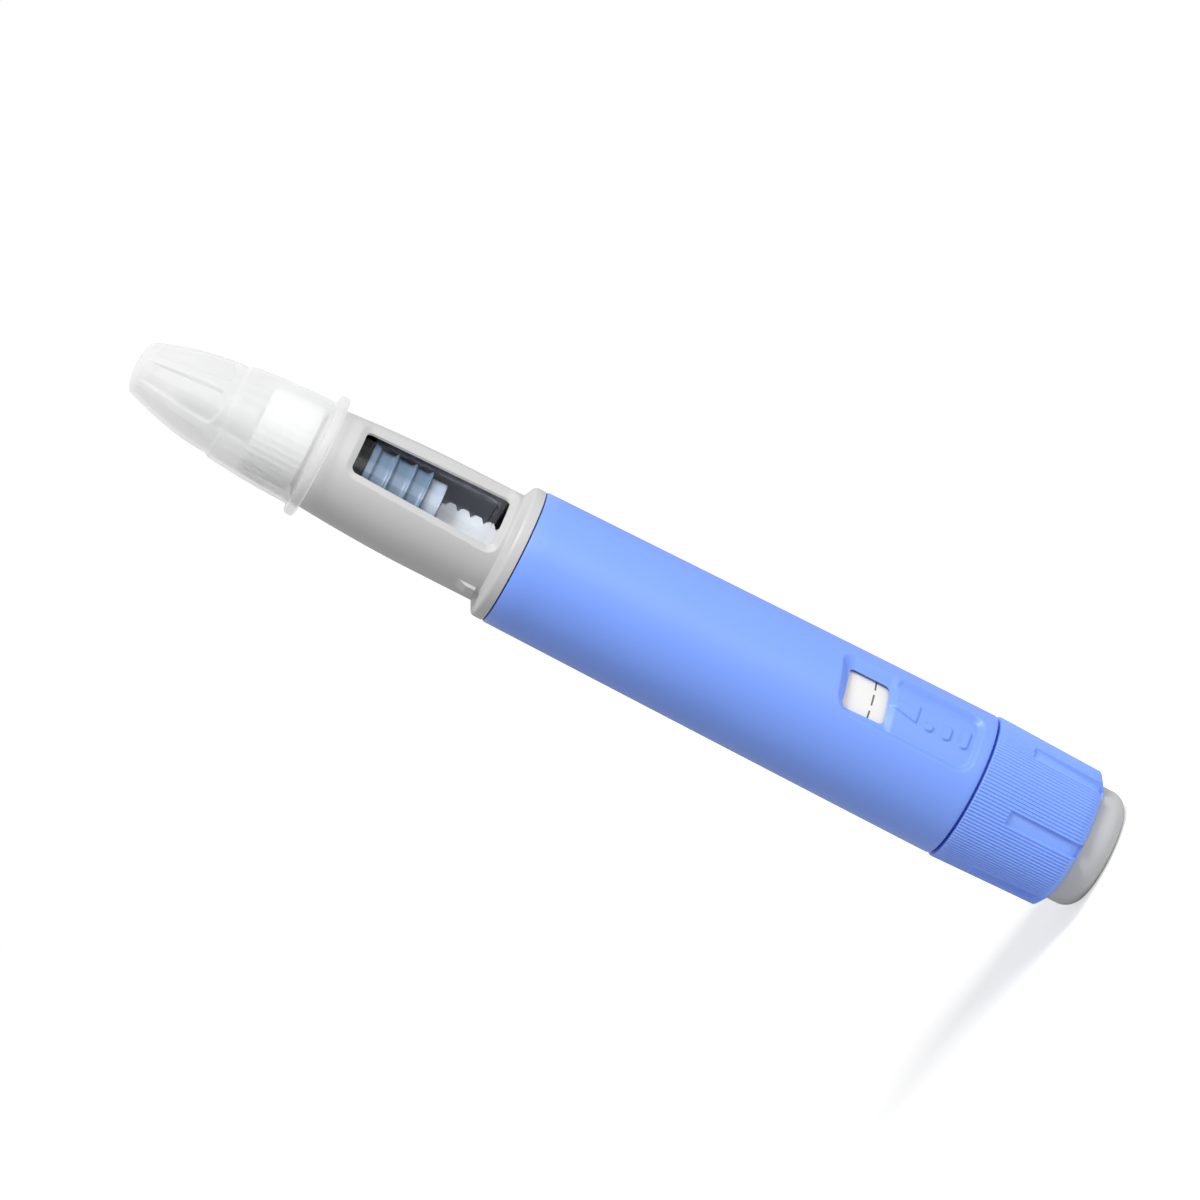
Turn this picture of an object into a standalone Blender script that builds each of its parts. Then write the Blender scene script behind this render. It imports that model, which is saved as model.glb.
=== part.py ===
"""Injection pen with a needle fitted, standing on its dose button.

Units are metres, and angles are degrees. Z runs from the button's end face at Z = 0 to the needle
end. The cartridge window and the dose window face -Y, and an azimuth is counted from -Y towards +X.
Every object is one piece of the real pen, and radii are worked out from the axis outwards, so that a
thicker piece moves what lies around it.
"""
import math

import bmesh
import bpy
from mathutils import Vector

# Gap that neighbouring pieces keep, and the facets of round pieces
GAP = 0.0003
FINE_FACETS = 48
FACETS = 36
INNER_FACETS = 24
SMALL_FACETS = 20

# Piston rod, a two-start screw with two flats along its length
ROD_RADIUS = 0.00237
ROD_THREAD_DEPTH = 0.00057
ROD_TOOTH_PITCH = 0.00179
ROD_STARTS = 2
ROD_TEETH = 27
ROD_FLAT_HALF_WIDTH = 0.0012
ROD_PLAIN_END = 0.0008
ROD_TOOTH = ((0.04, 0.0), (0.22, 1.0), (0.66, 1.0), (0.94, 0.0))
ROD_PIVOT_RADIUS = 0.0012
ROD_PIVOT_LENGTH = 0.0015

# Drive tube, content nut, reset tube and scale drum, one around the other
DRIVE_TUBE_WALL = 0.00053
DRIVE_TUBE_LENGTH = 0.0450
DRIVE_FLANGE_THICKNESS = 0.0012
DRIVE_FLANGE_WIDTH = 0.0010
CONTENT_NUT_WALL = 0.0015
CONTENT_NUT_LENGTH = 0.0040
CONTENT_NUT_SLIDE = 0.0015
CONTENT_NUT_FROM_FLANGE = 0.0054
RESET_TUBE_WALL = 0.00085
RESET_TUBE_FROM_SPRING_BASE = 0.0014
RESET_FLANGE_THICKNESS = 0.0010
SPLINES = 4
SPLINE_HEIGHT = 0.0004
SPLINE_WIDTH = 0.0014
DRUM_WALL = 0.0013
DRUM_LENGTH = 0.0260
DRUM_GAP = 0.0004
DRUM_FROM_SEAM = 0.00635

# Springs
TORSION_WIRE = 0.0007
TORSION_TURNS = 8
BUTTON_SPRING_WIRE = 0.0006
BUTTON_SPRING_TURNS = 4.5

# Dose button
BUTTON_RADIUS = 0.0078
BUTTON_LENGTH = 0.0110
BUTTON_EXPOSED = 0.00415
BUTTON_FILLET = 0.0020
BUTTON_WALL = 0.0011
BUTTON_FLOOR = 0.0018
BUTTON_POST_RADIUS = 0.0020
BUTTON_TRAVEL = 0.0022

# Dose selector
SELECTOR_LENGTH = 0.01515
SELECTOR_REAR_RADIUS = 0.0093
SELECTOR_FLARE = 0.00039
SELECTOR_WEB = 0.0015
SELECTOR_FRONT_WALL = 0.0011
SELECTOR_CHAMFER = 0.00098
SELECTOR_EDGE = 0.0003
SELECTOR_RIBS = 132
RIB_HEIGHT = 0.00018
GROOVES = 6
GROOVE_WIDTH = 0.00204
GROOVE_LENGTH = 0.0103
GROOVE_DEPTH = 0.0007
GROOVE_AZIMUTH = 20.5
SEAM = 0.00035

# Housing
HOUSING_LENGTH = 0.06275
HOUSING_REAR_WALL = 0.00137
HOUSING_FRONT_WALL = 0.0013
HOUSING_FRONT_BORE_LENGTH = 0.0220
HOUSING_EDGE = 0.00025
HOUSING_NECK_LENGTH = 0.0036

# Shallow recess round the dose window, and the window itself
RECESS_REAR = 0.00155
RECESS_LENGTH = 0.0195
RECESS_HALF_ANGLE = 26.4
RECESS_DEPTH = 0.00045
RECESS_CORNER = 0.0015
RECESS_SLANT = 0.0016
RECESS_WALL_RUN = 0.0004
RECESS_END_RUN = 0.0010
WINDOW_FROM_RECESS_TOP = 0.0013
WINDOW_SIDE_MARGIN = 3.2
WINDOW_LENGTH = 0.0053
WINDOW_HALF_ANGLE = 19.0
WINDOW_SLANT = 0.00062
WINDOW_CORNER = 0.0006
WINDOW_RAMP = 0.0011
POINTER_LENGTH = 0.0028
POINTER_HALF_ANGLE = 8.2
POINTER_TIP_HALF_ANGLE = 4.4
POINTER_AZIMUTH = 1.8
POINTER_HEIGHT = 0.0002

# Piston guide and spring base, the two fixed discs in the housing
GUIDE_THICKNESS = 0.0030
GUIDE_TUBE_WALL = 0.0011
GUIDE_TUBE_BEHIND_WINDOW = 0.0002
SPRING_BASE_THICKNESS = 0.0025

# Cartridge: glass, septum and crimp cap
CARTRIDGE_RADIUS = 0.0058
CARTRIDGE_WALL = 0.00098
CARTRIDGE_BARREL = 0.0203
CARTRIDGE_SHOULDER = 0.0021
CARTRIDGE_NECK_RADIUS = 0.0028
CARTRIDGE_NECK = 0.0016
CARTRIDGE_FLANGE_RADIUS = 0.00335
CARTRIDGE_FLANGE = 0.0016
CARTRIDGE_OUTLET_RADIUS = 0.0015
SEPTUM_THICKNESS = 0.0019
CRIMP_WALL = 0.0002
CRIMP_HOLE_RADIUS = 0.0016

# Rubber plunger and the foot that pushes it
PLUNGER_LENGTH = 0.0079
PLUNGER_FROM_GLASS_END = 0.0091
PLUNGER_GAP = 0.00015
PLUNGER_RIB_HEIGHT = 0.0007
PLUNGER_RIB_WIDTH = 0.0004
PLUNGER_END_RIB = 0.0009
PLUNGER_RIB_PLACES = (0.26, 0.58)
PISTON_FOOT_RADIUS = 0.00405
PISTON_FOOT_LENGTH = 0.00205

# Cartridge holder
SKIRT_LENGTH = 0.0098
SKIRT_WALL = 0.0012
COLLAR_LENGTH = 0.0013
COLLAR_SETBACK = 0.00007
COLLAR_SLOPE = 0.0008
GLASS_FROM_COLLAR = 0.0043
HOLDER_PAST_BARREL = 0.0019
HOLDER_REAR_WALL = 0.00115
HOLDER_FRONT_WALL = 0.00043
HOLDER_TAPER_LENGTH = 0.0130
HOLDER_TAPER_BEND = 0.6
HOLDER_TAPER_BEND_DROP = 0.35
HOLDER_GLASS_CLEARANCE = 0.00042
HOLDER_SHOULDER = 0.0016
NOSE_WALL = 0.00055
NOSE_END = 0.0009
NOSE_HOLE_RADIUS = 0.0020
WINDOW_BEVEL = 0.0007
HOLDER_WINDOW_LENGTH = 0.0195
HOLDER_WINDOW_FROM_COLLAR = 0.0013
HOLDER_WINDOW_REAR_ANGLE = 38.0
HOLDER_WINDOW_FRONT_ANGLE = 33.0
HOLDER_WINDOW_BEVEL_ANGLE = 4.2
HOLDER_WINDOW_CORNER = 0.0009
SNAP_LENGTH = 0.0026
SNAP_WIDTH = 0.0011
SNAP_HEIGHT = 0.0004

# Needle hub and needle tube
HUB_WALL = 0.00045
HUB_RIBS = 12
HUB_RIB_HEIGHT = 0.0001
HUB_MOUTH_FROM_SHOULDER = 0.0004
HUB_END = 0.0012
HUB_TOWER_RADIUS = 0.0016
HUB_TOWER_LENGTH = 0.0029
NEEDLE_RADIUS = 0.00015
NEEDLE_FREE_LENGTH = 0.0060
NEEDLE_INSIDE_LENGTH = 0.0012

# Inner and outer needle caps
INNER_CAP_WALL = 0.0006
INNER_CAP_TIP_WALL = 0.0006
INNER_CAP_DRAFT = 0.0003
INNER_CAP_TIP_GAP = 0.0015
CAP_WALL = 0.0005
CAP_LENGTH = 0.0255
CAP_FLANGE_WIDTH = 0.00112
CAP_FLANGE_THICKNESS = 0.0014
CAP_SKIRT_LENGTH = 0.0125
CAP_SHOULDER_STEP = 0.00038
CAP_SHOULDER_LENGTH = 0.0009
CAP_TIP_RADIUS = 0.0035
CAP_TIP_HEIGHT = 0.0012
CAP_TAPER_POWER = 1.65
CAP_RIBS = 6
CAP_RIB_AZIMUTH = -4.0
CAP_RIB_HALF_ANGLE = 9.0
CAP_FLUTE_DEPTH = 0.00045
CAP_OVER_HOLDER = 0.0002
CAP_MOUTH_WALL = 0.0004

# Radii worked out from the axis outwards
drive_bore = ROD_RADIUS + GAP
drive_radius = drive_bore + DRIVE_TUBE_WALL
nut_bore = drive_radius + GAP
nut_radius = nut_bore + CONTENT_NUT_WALL
reset_bore = nut_radius + GAP
reset_radius = reset_bore + RESET_TUBE_WALL
drum_bore = reset_radius + GAP
drum_radius = drum_bore + DRUM_WALL
rear_bore = drum_radius + DRUM_GAP
housing_rear_radius = rear_bore + HOUSING_REAR_WALL
holder_bore = CARTRIDGE_RADIUS + GAP
skirt_radius = holder_bore + SKIRT_WALL
front_bore = skirt_radius + GAP
housing_front_radius = front_bore + HOUSING_FRONT_WALL
glass_bore = CARTRIDGE_RADIUS - CARTRIDGE_WALL
collar_radius = housing_front_radius - COLLAR_SETBACK
holder_rear_radius = holder_bore + HOLDER_REAR_WALL
holder_front_radius = holder_bore + HOLDER_FRONT_WALL
crimp_bore = CARTRIDGE_FLANGE_RADIUS + GAP
crimp_radius = crimp_bore + CRIMP_WALL
nose_bore = crimp_radius + GAP
nose_radius = nose_bore + NOSE_WALL
hub_bore = nose_radius + GAP
hub_radius = hub_bore + HUB_WALL
cap_shoulder_bore = hub_radius + HUB_RIB_HEIGHT + GAP
cap_shoulder_radius = cap_shoulder_bore + CAP_WALL
cap_mouth_bore = holder_front_radius + GAP
cap_skirt_radius = holder_front_radius + CAP_MOUTH_WALL
cap_flange_radius = cap_skirt_radius + CAP_FLANGE_WIDTH
button_bore = BUTTON_RADIUS + GAP
selector_front_radius = SELECTOR_REAR_RADIUS + SELECTOR_FLARE
selector_front_bore = selector_front_radius - RIB_HEIGHT - SELECTOR_FRONT_WALL
neck_radius = selector_front_bore - GAP

# Heights worked out along the axis, from the button's end face
selector_rear = BUTTON_EXPOSED
selector_front = selector_rear + SELECTOR_LENGTH
housing_rear = selector_front + SEAM
housing_front = housing_rear + HOUSING_LENGTH
neck_rear = housing_rear - HOUSING_NECK_LENGTH
bore_step = housing_front - HOUSING_FRONT_BORE_LENGTH
button_rim = BUTTON_LENGTH
web_rear = button_rim + BUTTON_TRAVEL + GAP
web_front = web_rear + SELECTOR_WEB
spring_base_rear = bore_step + GAP
spring_base_front = spring_base_rear + SPRING_BASE_THICKNESS
reset_rear = web_front + GAP
reset_front = spring_base_rear - RESET_TUBE_FROM_SPRING_BASE
skirt_rear = housing_front - SKIRT_LENGTH
guide_front = skirt_rear - GAP
guide_rear = guide_front - GUIDE_THICKNESS
drive_front = guide_rear - GAP
drive_rear = drive_front - DRIVE_TUBE_LENGTH
nut_rear = drive_rear + DRIVE_FLANGE_THICKNESS + CONTENT_NUT_FROM_FLANGE
nut_front = nut_rear + CONTENT_NUT_LENGTH
torsion_rear = nut_front + CONTENT_NUT_SLIDE + GAP
torsion_front = spring_base_rear - GAP
collar_rear = housing_front + GAP
collar_front = collar_rear + COLLAR_LENGTH
holder_barrel_rear = collar_front + COLLAR_SLOPE
holder_window_rear = holder_barrel_rear + HOLDER_WINDOW_FROM_COLLAR
holder_window_front = holder_window_rear + HOLDER_WINDOW_LENGTH
glass_rear = collar_rear + GLASS_FROM_COLLAR
glass_barrel_front = glass_rear + CARTRIDGE_BARREL
glass_neck_rear = glass_barrel_front + CARTRIDGE_SHOULDER
glass_flange_rear = glass_neck_rear + CARTRIDGE_NECK
glass_front = glass_flange_rear + CARTRIDGE_FLANGE
septum_rear = glass_front + GAP
septum_front = septum_rear + SEPTUM_THICKNESS
crimp_front = septum_front + GAP + CRIMP_WALL
nose_bore_front = crimp_front + GAP
nose_front = nose_bore_front + NOSE_END
holder_front = glass_barrel_front + HOLDER_PAST_BARREL
shoulder_front = holder_front + HOLDER_SHOULDER
foot_rear = glass_rear + PLUNGER_FROM_GLASS_END - PISTON_FOOT_LENGTH - GAP
foot_front = foot_rear + PISTON_FOOT_LENGTH
plunger_rear = foot_front + GAP
plunger_front = plunger_rear + PLUNGER_LENGTH
rod_front = foot_rear - GAP
rod_rear = rod_front - ROD_TEETH * ROD_TOOTH_PITCH - ROD_PLAIN_END
hub_rear = shoulder_front + HUB_MOUTH_FROM_SHOULDER
hub_inner_front = nose_front + GAP
hub_front = hub_inner_front + HUB_END
tower_front = hub_front + HUB_TOWER_LENGTH
needle_rear = septum_rear - NEEDLE_INSIDE_LENGTH
needle_front = tower_front + NEEDLE_FREE_LENGTH
cap_rear = holder_front - CAP_OVER_HOLDER
cap_front = cap_rear + CAP_LENGTH
drum_rear = housing_rear + DRUM_FROM_SEAM
drum_front = drum_rear + DRUM_LENGTH


def polar(radius, azimuth, height):
    """A point at a radius, an azimuth from -Y towards +X, and a height."""
    turn = math.radians(azimuth)
    return Vector((radius * math.sin(turn), -radius * math.cos(turn), height))


def arc(centre, radius, start, end, steps):
    """Points (radius, height) on an arc in a section, from one angle to another."""
    points = []
    for step in range(steps + 1):
        angle = math.radians(start + (end - start) * step / steps)
        points.append((centre[0] + radius * math.cos(angle), centre[1] + radius * math.sin(angle)))
    return points


def surface(name, colour, roughness, metallic=0.0, alpha=1.0):
    """A Principled material in a piece's own colour."""
    material = bpy.data.materials.new(name)
    material.use_nodes = True
    shader = material.node_tree.nodes["Principled BSDF"]
    shader.inputs["Base Color"].default_value = (*colour, 1.0)
    shader.inputs["Roughness"].default_value = roughness
    shader.inputs["Metallic"].default_value = metallic
    shader.inputs["Alpha"].default_value = alpha
    return material


def place(name, data, material):
    """Puts mesh or curve data into the scene as a named object with its material."""
    piece = bpy.data.objects.new(name, data)
    data.materials.append(material)
    bpy.context.scene.collection.objects.link(piece)
    return piece


def finish(name, form, material):
    """Turns a bmesh into a named object whose faces all point outwards."""
    bmesh.ops.recalc_face_normals(form, faces=form.faces)
    data = bpy.data.meshes.new(name)
    form.to_mesh(data)
    form.free()
    data.shade_smooth()
    data.set_sharp_from_angle(angle=math.radians(35))
    return place(name, data, material)


def turned(name, section, material, facets=FACETS):
    """Spins a closed section of (radius, height) points about the axis."""
    form = bmesh.new()
    corners = [form.verts.new((0.0, -radius, height)) for radius, height in section]
    edges = [form.edges.new((corners[k - 1], corners[k])) for k in range(len(corners))]
    on_axis = [edge for edge in edges if all(corner.co.y == 0.0 for corner in edge.verts)]
    bmesh.ops.delete(form, geom=on_axis, context="EDGES")
    bmesh.ops.spin(form, geom=form.verts[:] + form.edges[:], cent=(0, 0, 0), axis=(0, 0, 1),
                   angle=2 * math.pi, steps=facets, use_merge=True)
    bmesh.ops.remove_doubles(form, verts=form.verts, dist=1e-7)
    return finish(name, form, material)


def join_rings(form, lower, upper):
    """Fills the band between two closed rings, which may differ in their number of points."""
    low, high = 0, 0
    while low < len(lower) or high < len(upper):
        step_low = (low + 1) * len(upper) <= (high + 1) * len(lower)
        step_high = (high + 1) * len(lower) <= (low + 1) * len(upper)
        corners = [lower[low % len(lower)], lower[(low + step_low) % len(lower)],
                   upper[(high + step_high) % len(upper)], upper[high % len(upper)]]
        form.faces.new(list(dict.fromkeys(corners)))
        low += step_low
        high += step_high


def ring(form, count, height, radius_at):
    """A closed ring of points whose radius may change with the azimuth."""
    azimuths = [360 * k / count for k in range(count)]
    return [form.verts.new(polar(radius_at(azimuth), azimuth, height)) for azimuth in azimuths]


def lofted(name, rings, material):
    """Joins rings in order, and the last to the first, into one closed solid.

    Each ring is (count, height, radius), where the radius is a number or a function of the azimuth.
    """
    form = bmesh.new()
    loops = []
    for count, height, radius in rings:
        radius_at = radius if callable(radius) else lambda azimuth, size=radius: size
        loops.append(ring(form, count, height, radius_at))
    for k, loop in enumerate(loops):
        join_rings(form, loops[k - 1], loop)
    return finish(name, form, material)


def rounded_outline(corners, radius, steps=4):
    """Rounds the corners of a closed outline of (across, height) points, each by an arc-like curve."""
    outline = []
    for k, corner in enumerate(corners):
        here = Vector(corner)
        start = here + (Vector(corners[k - 1]) - here).normalized() * radius
        end = here + (Vector(corners[(k + 1) % len(corners)]) - here).normalized() * radius
        for step in range(steps + 1):
            share = step / steps
            outline.append(start * (1 - share) ** 2 + here * 2 * share * (1 - share) + end * share ** 2)
    return outline


def cutter(name, layers, end_plane=None):
    """A solid between outlines wrapped on cylinders, from the innermost to the outermost.

    Each layer is (cylinder radius, outline), and an outline's first value is an arc length there.
    An end plane closes the outer end flat, at that distance from the axis.
    """
    form = bmesh.new()
    loops = []
    for radius, outline in layers:
        loops.append([form.verts.new(polar(radius, math.degrees(across / radius), height))
                      for across, height in outline])
    if end_plane:
        loops.append([form.verts.new((corner.co.x, -end_plane, corner.co.z)) for corner in loops[-1]])
    for lower, upper in zip(loops, loops[1:]):
        join_rings(form, lower, upper)
    form.faces.new(loops[0])
    form.faces.new(loops[-1])
    bmesh.ops.triangulate(form, faces=[face for face in form.faces if len(face.verts) > 4])
    tool = finish(name, form, surface(name, (1.0, 0.2, 0.2), 0.5))
    tool.hide_render = True
    tool.display_type = "WIRE"
    return tool


def combine(piece, tool, operation):
    """Adds a Boolean modifier that cuts a tool out of a piece or unites it with the piece."""
    modifier = piece.modifiers.new(tool.name, "BOOLEAN")
    modifier.operation = operation
    modifier.solver = "EXACT"
    modifier.object = tool


def coil(name, radius, wire, rear, front, turns, material, steps_per_turn=10):
    """A helical spring as a round wire swept along its helix."""
    data = bpy.data.curves.new(name, "CURVE")
    data.dimensions = "3D"
    data.bevel_depth = wire / 2
    data.bevel_resolution = 1
    data.use_fill_caps = True
    spline = data.splines.new("POLY")
    steps = round(turns * steps_per_turn)
    spline.points.add(steps)
    for step in range(steps + 1):
        share = step / steps
        height = rear + wire / 2 + (front - rear - wire) * share
        spline.points[step].co = (*polar(radius, 360 * turns * share, height), 1.0)
    return place(name, data, material)


def make_dose_button(material):
    """Cup-shaped push button with a rounded edge and a post for its spring."""
    side = arc((BUTTON_RADIUS - BUTTON_FILLET, BUTTON_FILLET), BUTTON_FILLET, -90, 0, 5)
    inner = BUTTON_RADIUS - BUTTON_WALL
    section = [(0.0, 0.0), *side, (BUTTON_RADIUS, button_rim), (inner, button_rim), (inner, BUTTON_FLOOR),
               (BUTTON_POST_RADIUS, BUTTON_FLOOR), (BUTTON_POST_RADIUS, button_rim - BUTTON_WALL),
               (0.0, button_rim - BUTTON_WALL)]
    return turned("dose_button", section, material)


def make_button_spring(material):
    """Compression spring between the button's floor and the selector's web."""
    radius = (BUTTON_POST_RADIUS + BUTTON_RADIUS - BUTTON_WALL) / 2
    return coil("button_spring", radius, BUTTON_SPRING_WIRE, BUTTON_FLOOR + GAP, web_rear - GAP,
                BUTTON_SPRING_TURNS, material)


def groove_cut(azimuth, depth):
    """How far a groove lowers the selector's surface at an azimuth."""
    spacing = 360 / GROOVES
    off_centre = (azimuth - GROOVE_AZIMUTH + spacing / 2) % spacing - spacing / 2
    half_width = math.degrees(GROOVE_WIDTH / 2 / SELECTOR_REAR_RADIUS)
    return depth if abs(off_centre) < half_width else 0.0


def make_dose_selector(material):
    """Dial ring with fine lengthwise ribs and wider grooves that run out at its rear."""
    rib_points = 2 * SELECTOR_RIBS
    plain = SELECTOR_RIBS // 3
    ribs_rear = selector_rear + SELECTOR_CHAMFER
    groove_front = selector_rear + GROOVE_LENGTH
    ribs_front = selector_front - SELECTOR_EDGE

    def outer_radius(height):
        return SELECTOR_REAR_RADIUS + SELECTOR_FLARE * (height - ribs_rear) / (selector_front - ribs_rear)

    def ribbed(height, depth):
        def radius_at(azimuth):
            rib = RIB_HEIGHT * (round(azimuth * rib_points / 360) % 2)
            return outer_radius(height) - max(rib, groove_cut(azimuth, depth))
        return radius_at

    rings = [
        (plain, selector_rear, button_bore + GAP / 2),
        (rib_points, ribs_rear, ribbed(ribs_rear, GROOVE_DEPTH)),
        (rib_points, groove_front, ribbed(groove_front, 0.0)),
        (rib_points, ribs_front, ribbed(ribs_front, 0.0)),
        (plain, selector_front, selector_front_radius - SELECTOR_EDGE),
        (plain, selector_front, selector_front_bore),
        (plain, web_front, selector_front_bore),
        (INNER_FACETS, web_front, BUTTON_POST_RADIUS + 3 * GAP),
        (INNER_FACETS, web_rear, BUTTON_POST_RADIUS + 3 * GAP),
        (plain, web_rear, button_bore),
        (plain, selector_rear + GAP / 2, button_bore),
    ]
    return lofted("dose_selector", rings, material)


def splined(base, height, count=SPLINES, width=SPLINE_WIDTH):
    """Radius of a splined tube as a function of the azimuth."""
    spacing = 360 / count
    half_width = math.degrees(width / 2 / base)

    def radius_at(azimuth):
        off_centre = (azimuth + spacing / 2) % spacing - spacing / 2
        return base + (height if abs(off_centre) < half_width else 0.0)
    return radius_at


def make_reset_tube(material):
    """Tube that turns with the selector, with splines that carry the scale drum round."""
    flange_front = reset_rear + RESET_FLANGE_THICKNESS
    flange_radius = drum_bore + SPLINE_HEIGHT
    outer = splined(reset_radius, SPLINE_HEIGHT)
    rings = [
        (FACETS, reset_rear, flange_radius),
        (FACETS, flange_front, flange_radius),
        (FACETS, flange_front, outer),
        (FACETS, reset_front, outer),
        (FACETS, reset_front, reset_bore),
        (FACETS, reset_rear, reset_bore),
    ]
    return lofted("reset_tube", rings, material)


def make_scale_drum(material):
    """Printed drum that turns with the reset tube and climbs its thread, keyed inside."""
    slot_width = SPLINE_WIDTH + 4 * GAP
    inner = splined(drum_bore, SPLINE_HEIGHT, width=slot_width)
    rings = [
        (FINE_FACETS, drum_rear, drum_radius),
        (FINE_FACETS, drum_front, drum_radius),
        (FINE_FACETS, drum_front, inner),
        (FINE_FACETS, drum_rear, inner),
    ]
    return lofted("scale_drum", rings, material)


def make_content_nut(material):
    """Nut that creeps along the drive tube and stops the dial at the last of the content."""
    edge = GAP
    section = [(nut_bore, nut_rear), (nut_radius - edge, nut_rear), (nut_radius, nut_rear + edge),
               (nut_radius, nut_front - edge), (nut_radius - edge, nut_front), (nut_bore, nut_front)]
    return turned("end_of_content_nut", section, material, SMALL_FACETS)


def make_drive_tube(material):
    """Tube with a flat-sided bore that turns the piston rod."""
    flange_front = drive_rear + DRIVE_FLANGE_THICKNESS

    def bore(azimuth):
        forward = max(abs(math.cos(math.radians(azimuth))), 0.1)
        return min(drive_bore, (ROD_FLAT_HALF_WIDTH + GAP) / forward)

    rings = [
        (SMALL_FACETS, drive_rear, drive_radius + DRIVE_FLANGE_WIDTH),
        (SMALL_FACETS, flange_front, drive_radius + DRIVE_FLANGE_WIDTH),
        (SMALL_FACETS, flange_front, drive_radius),
        (SMALL_FACETS, drive_front, drive_radius),
        (SMALL_FACETS, drive_front, bore),
        (SMALL_FACETS, drive_rear, bore),
    ]
    return lofted("drive_tube", rings, material)


def make_piston_rod(material):
    """Two-start screw with two flats: its teeth follow the helix on the two round sides."""
    lead = ROD_TOOTH_PITCH * ROD_STARTS
    root = ROD_RADIUS - ROD_THREAD_DEPTH
    steps = (-1.0, 0.0, 1.0)
    form = bmesh.new()

    def station(height, radius, half_arc, lift):
        """One loop round the rod, raised along the helix by lift metres a degree."""
        turns = [(centre, step * half_arc) for centre in (90, 270) for step in steps]
        highest = rod_front - GAP / 4 if lift else height
        return [form.verts.new(polar(radius, centre + turn, min(height + lift * turn, highest)))
                for centre, turn in turns]

    def half_arc_at(radius):
        return math.degrees(math.asin(ROD_FLAT_HALF_WIDTH / radius))

    loops = [station(rod_rear, root, half_arc_at(root), 0.0)]
    for index in range(ROD_TEETH):
        base = rod_rear + ROD_PLAIN_END + index * ROD_TOOTH_PITCH
        for share, rise in ROD_TOOTH:
            radius = root + rise * ROD_THREAD_DEPTH
            height = base + share * ROD_TOOTH_PITCH
            loops.append(station(height, radius, half_arc_at(radius), lead / 360))
    loops.append(station(rod_front, root, half_arc_at(root), 0.0))
    even_arc = 180 / len(steps)
    for height in (rod_front, rod_front + ROD_PIVOT_LENGTH):
        loops.append(station(height, ROD_PIVOT_RADIUS, even_arc, 0.0))
    for lower, upper in zip(loops, loops[1:]):
        join_rings(form, lower, upper)
    form.faces.new(loops[0])
    form.faces.new(loops[-1])
    return finish("piston_rod", form, material)


def make_piston_foot(material):
    """Disc that turns freely on the rod's pivot and pushes the rubber plunger."""
    socket = ROD_PIVOT_RADIUS + GAP
    socket_end = rod_front + ROD_PIVOT_LENGTH + GAP
    edge = GAP
    section = [(socket, foot_rear), (PISTON_FOOT_RADIUS, foot_rear), (PISTON_FOOT_RADIUS, foot_front - edge),
               (PISTON_FOOT_RADIUS - edge, foot_front), (0.0, foot_front), (0.0, socket_end),
               (socket, socket_end)]
    return turned("piston_foot", section, material, INNER_FACETS)


def make_plunger(material):
    """Rubber plunger with sealing ribs that grip the glass."""
    rib_radius = glass_bore - PLUNGER_GAP
    valley = rib_radius - PLUNGER_RIB_HEIGHT
    run = PLUNGER_RIB_HEIGHT / 4
    section = [(0.0, plunger_rear), (rib_radius, plunger_rear), (rib_radius, plunger_rear + PLUNGER_END_RIB / 2),
               (valley, plunger_rear + PLUNGER_END_RIB / 2 + run)]
    for share in PLUNGER_RIB_PLACES:
        centre = plunger_rear + PLUNGER_LENGTH * share
        for offset, radius in ((-run, valley), (0.0, rib_radius), (PLUNGER_RIB_WIDTH, rib_radius),
                               (PLUNGER_RIB_WIDTH + run, valley)):
            section.append((radius, centre + offset))
    section += [(valley, plunger_front - PLUNGER_END_RIB - run), (rib_radius, plunger_front - PLUNGER_END_RIB),
                (rib_radius, plunger_front - GAP / 2), (rib_radius - GAP / 2, plunger_front),
                (0.0, plunger_front)]
    return turned("cartridge_plunger", section, material, INNER_FACETS)


def make_glass(material):
    """Glass cartridge: barrel, shoulder, neck and flange."""
    wall = CARTRIDGE_WALL
    section = [
        (glass_bore, glass_rear), (CARTRIDGE_RADIUS, glass_rear), (CARTRIDGE_RADIUS, glass_barrel_front),
        (CARTRIDGE_NECK_RADIUS, glass_neck_rear), (CARTRIDGE_NECK_RADIUS, glass_flange_rear),
        (CARTRIDGE_FLANGE_RADIUS, glass_flange_rear), (CARTRIDGE_FLANGE_RADIUS, glass_front),
        (CARTRIDGE_OUTLET_RADIUS, glass_front), (CARTRIDGE_OUTLET_RADIUS, glass_neck_rear - wall / 2),
        (glass_bore, glass_barrel_front - wall / 2),
    ]
    return turned("cartridge_glass", section, material, INNER_FACETS)


def make_septum(material):
    """Rubber disc that the needle passes through."""
    bore = NEEDLE_RADIUS + GAP
    section = [(bore, septum_rear), (CARTRIDGE_FLANGE_RADIUS, septum_rear),
               (CARTRIDGE_FLANGE_RADIUS, septum_front), (bore, septum_front)]
    return turned("cartridge_septum", section, material, SMALL_FACETS)


def make_crimp_cap(material):
    """Thin metal cap rolled under the glass flange, open over the septum."""
    lip_rear = glass_flange_rear - GAP - CRIMP_WALL
    lip_bore = CARTRIDGE_NECK_RADIUS + GAP
    section = [
        (lip_bore, lip_rear), (crimp_radius, lip_rear), (crimp_radius, crimp_front),
        (CRIMP_HOLE_RADIUS, crimp_front), (CRIMP_HOLE_RADIUS, crimp_front - CRIMP_WALL),
        (crimp_bore, crimp_front - CRIMP_WALL), (crimp_bore, lip_rear + CRIMP_WALL),
        (lip_bore, lip_rear + CRIMP_WALL),
    ]
    return turned("cartridge_crimp_cap", section, material, SMALL_FACETS)


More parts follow.
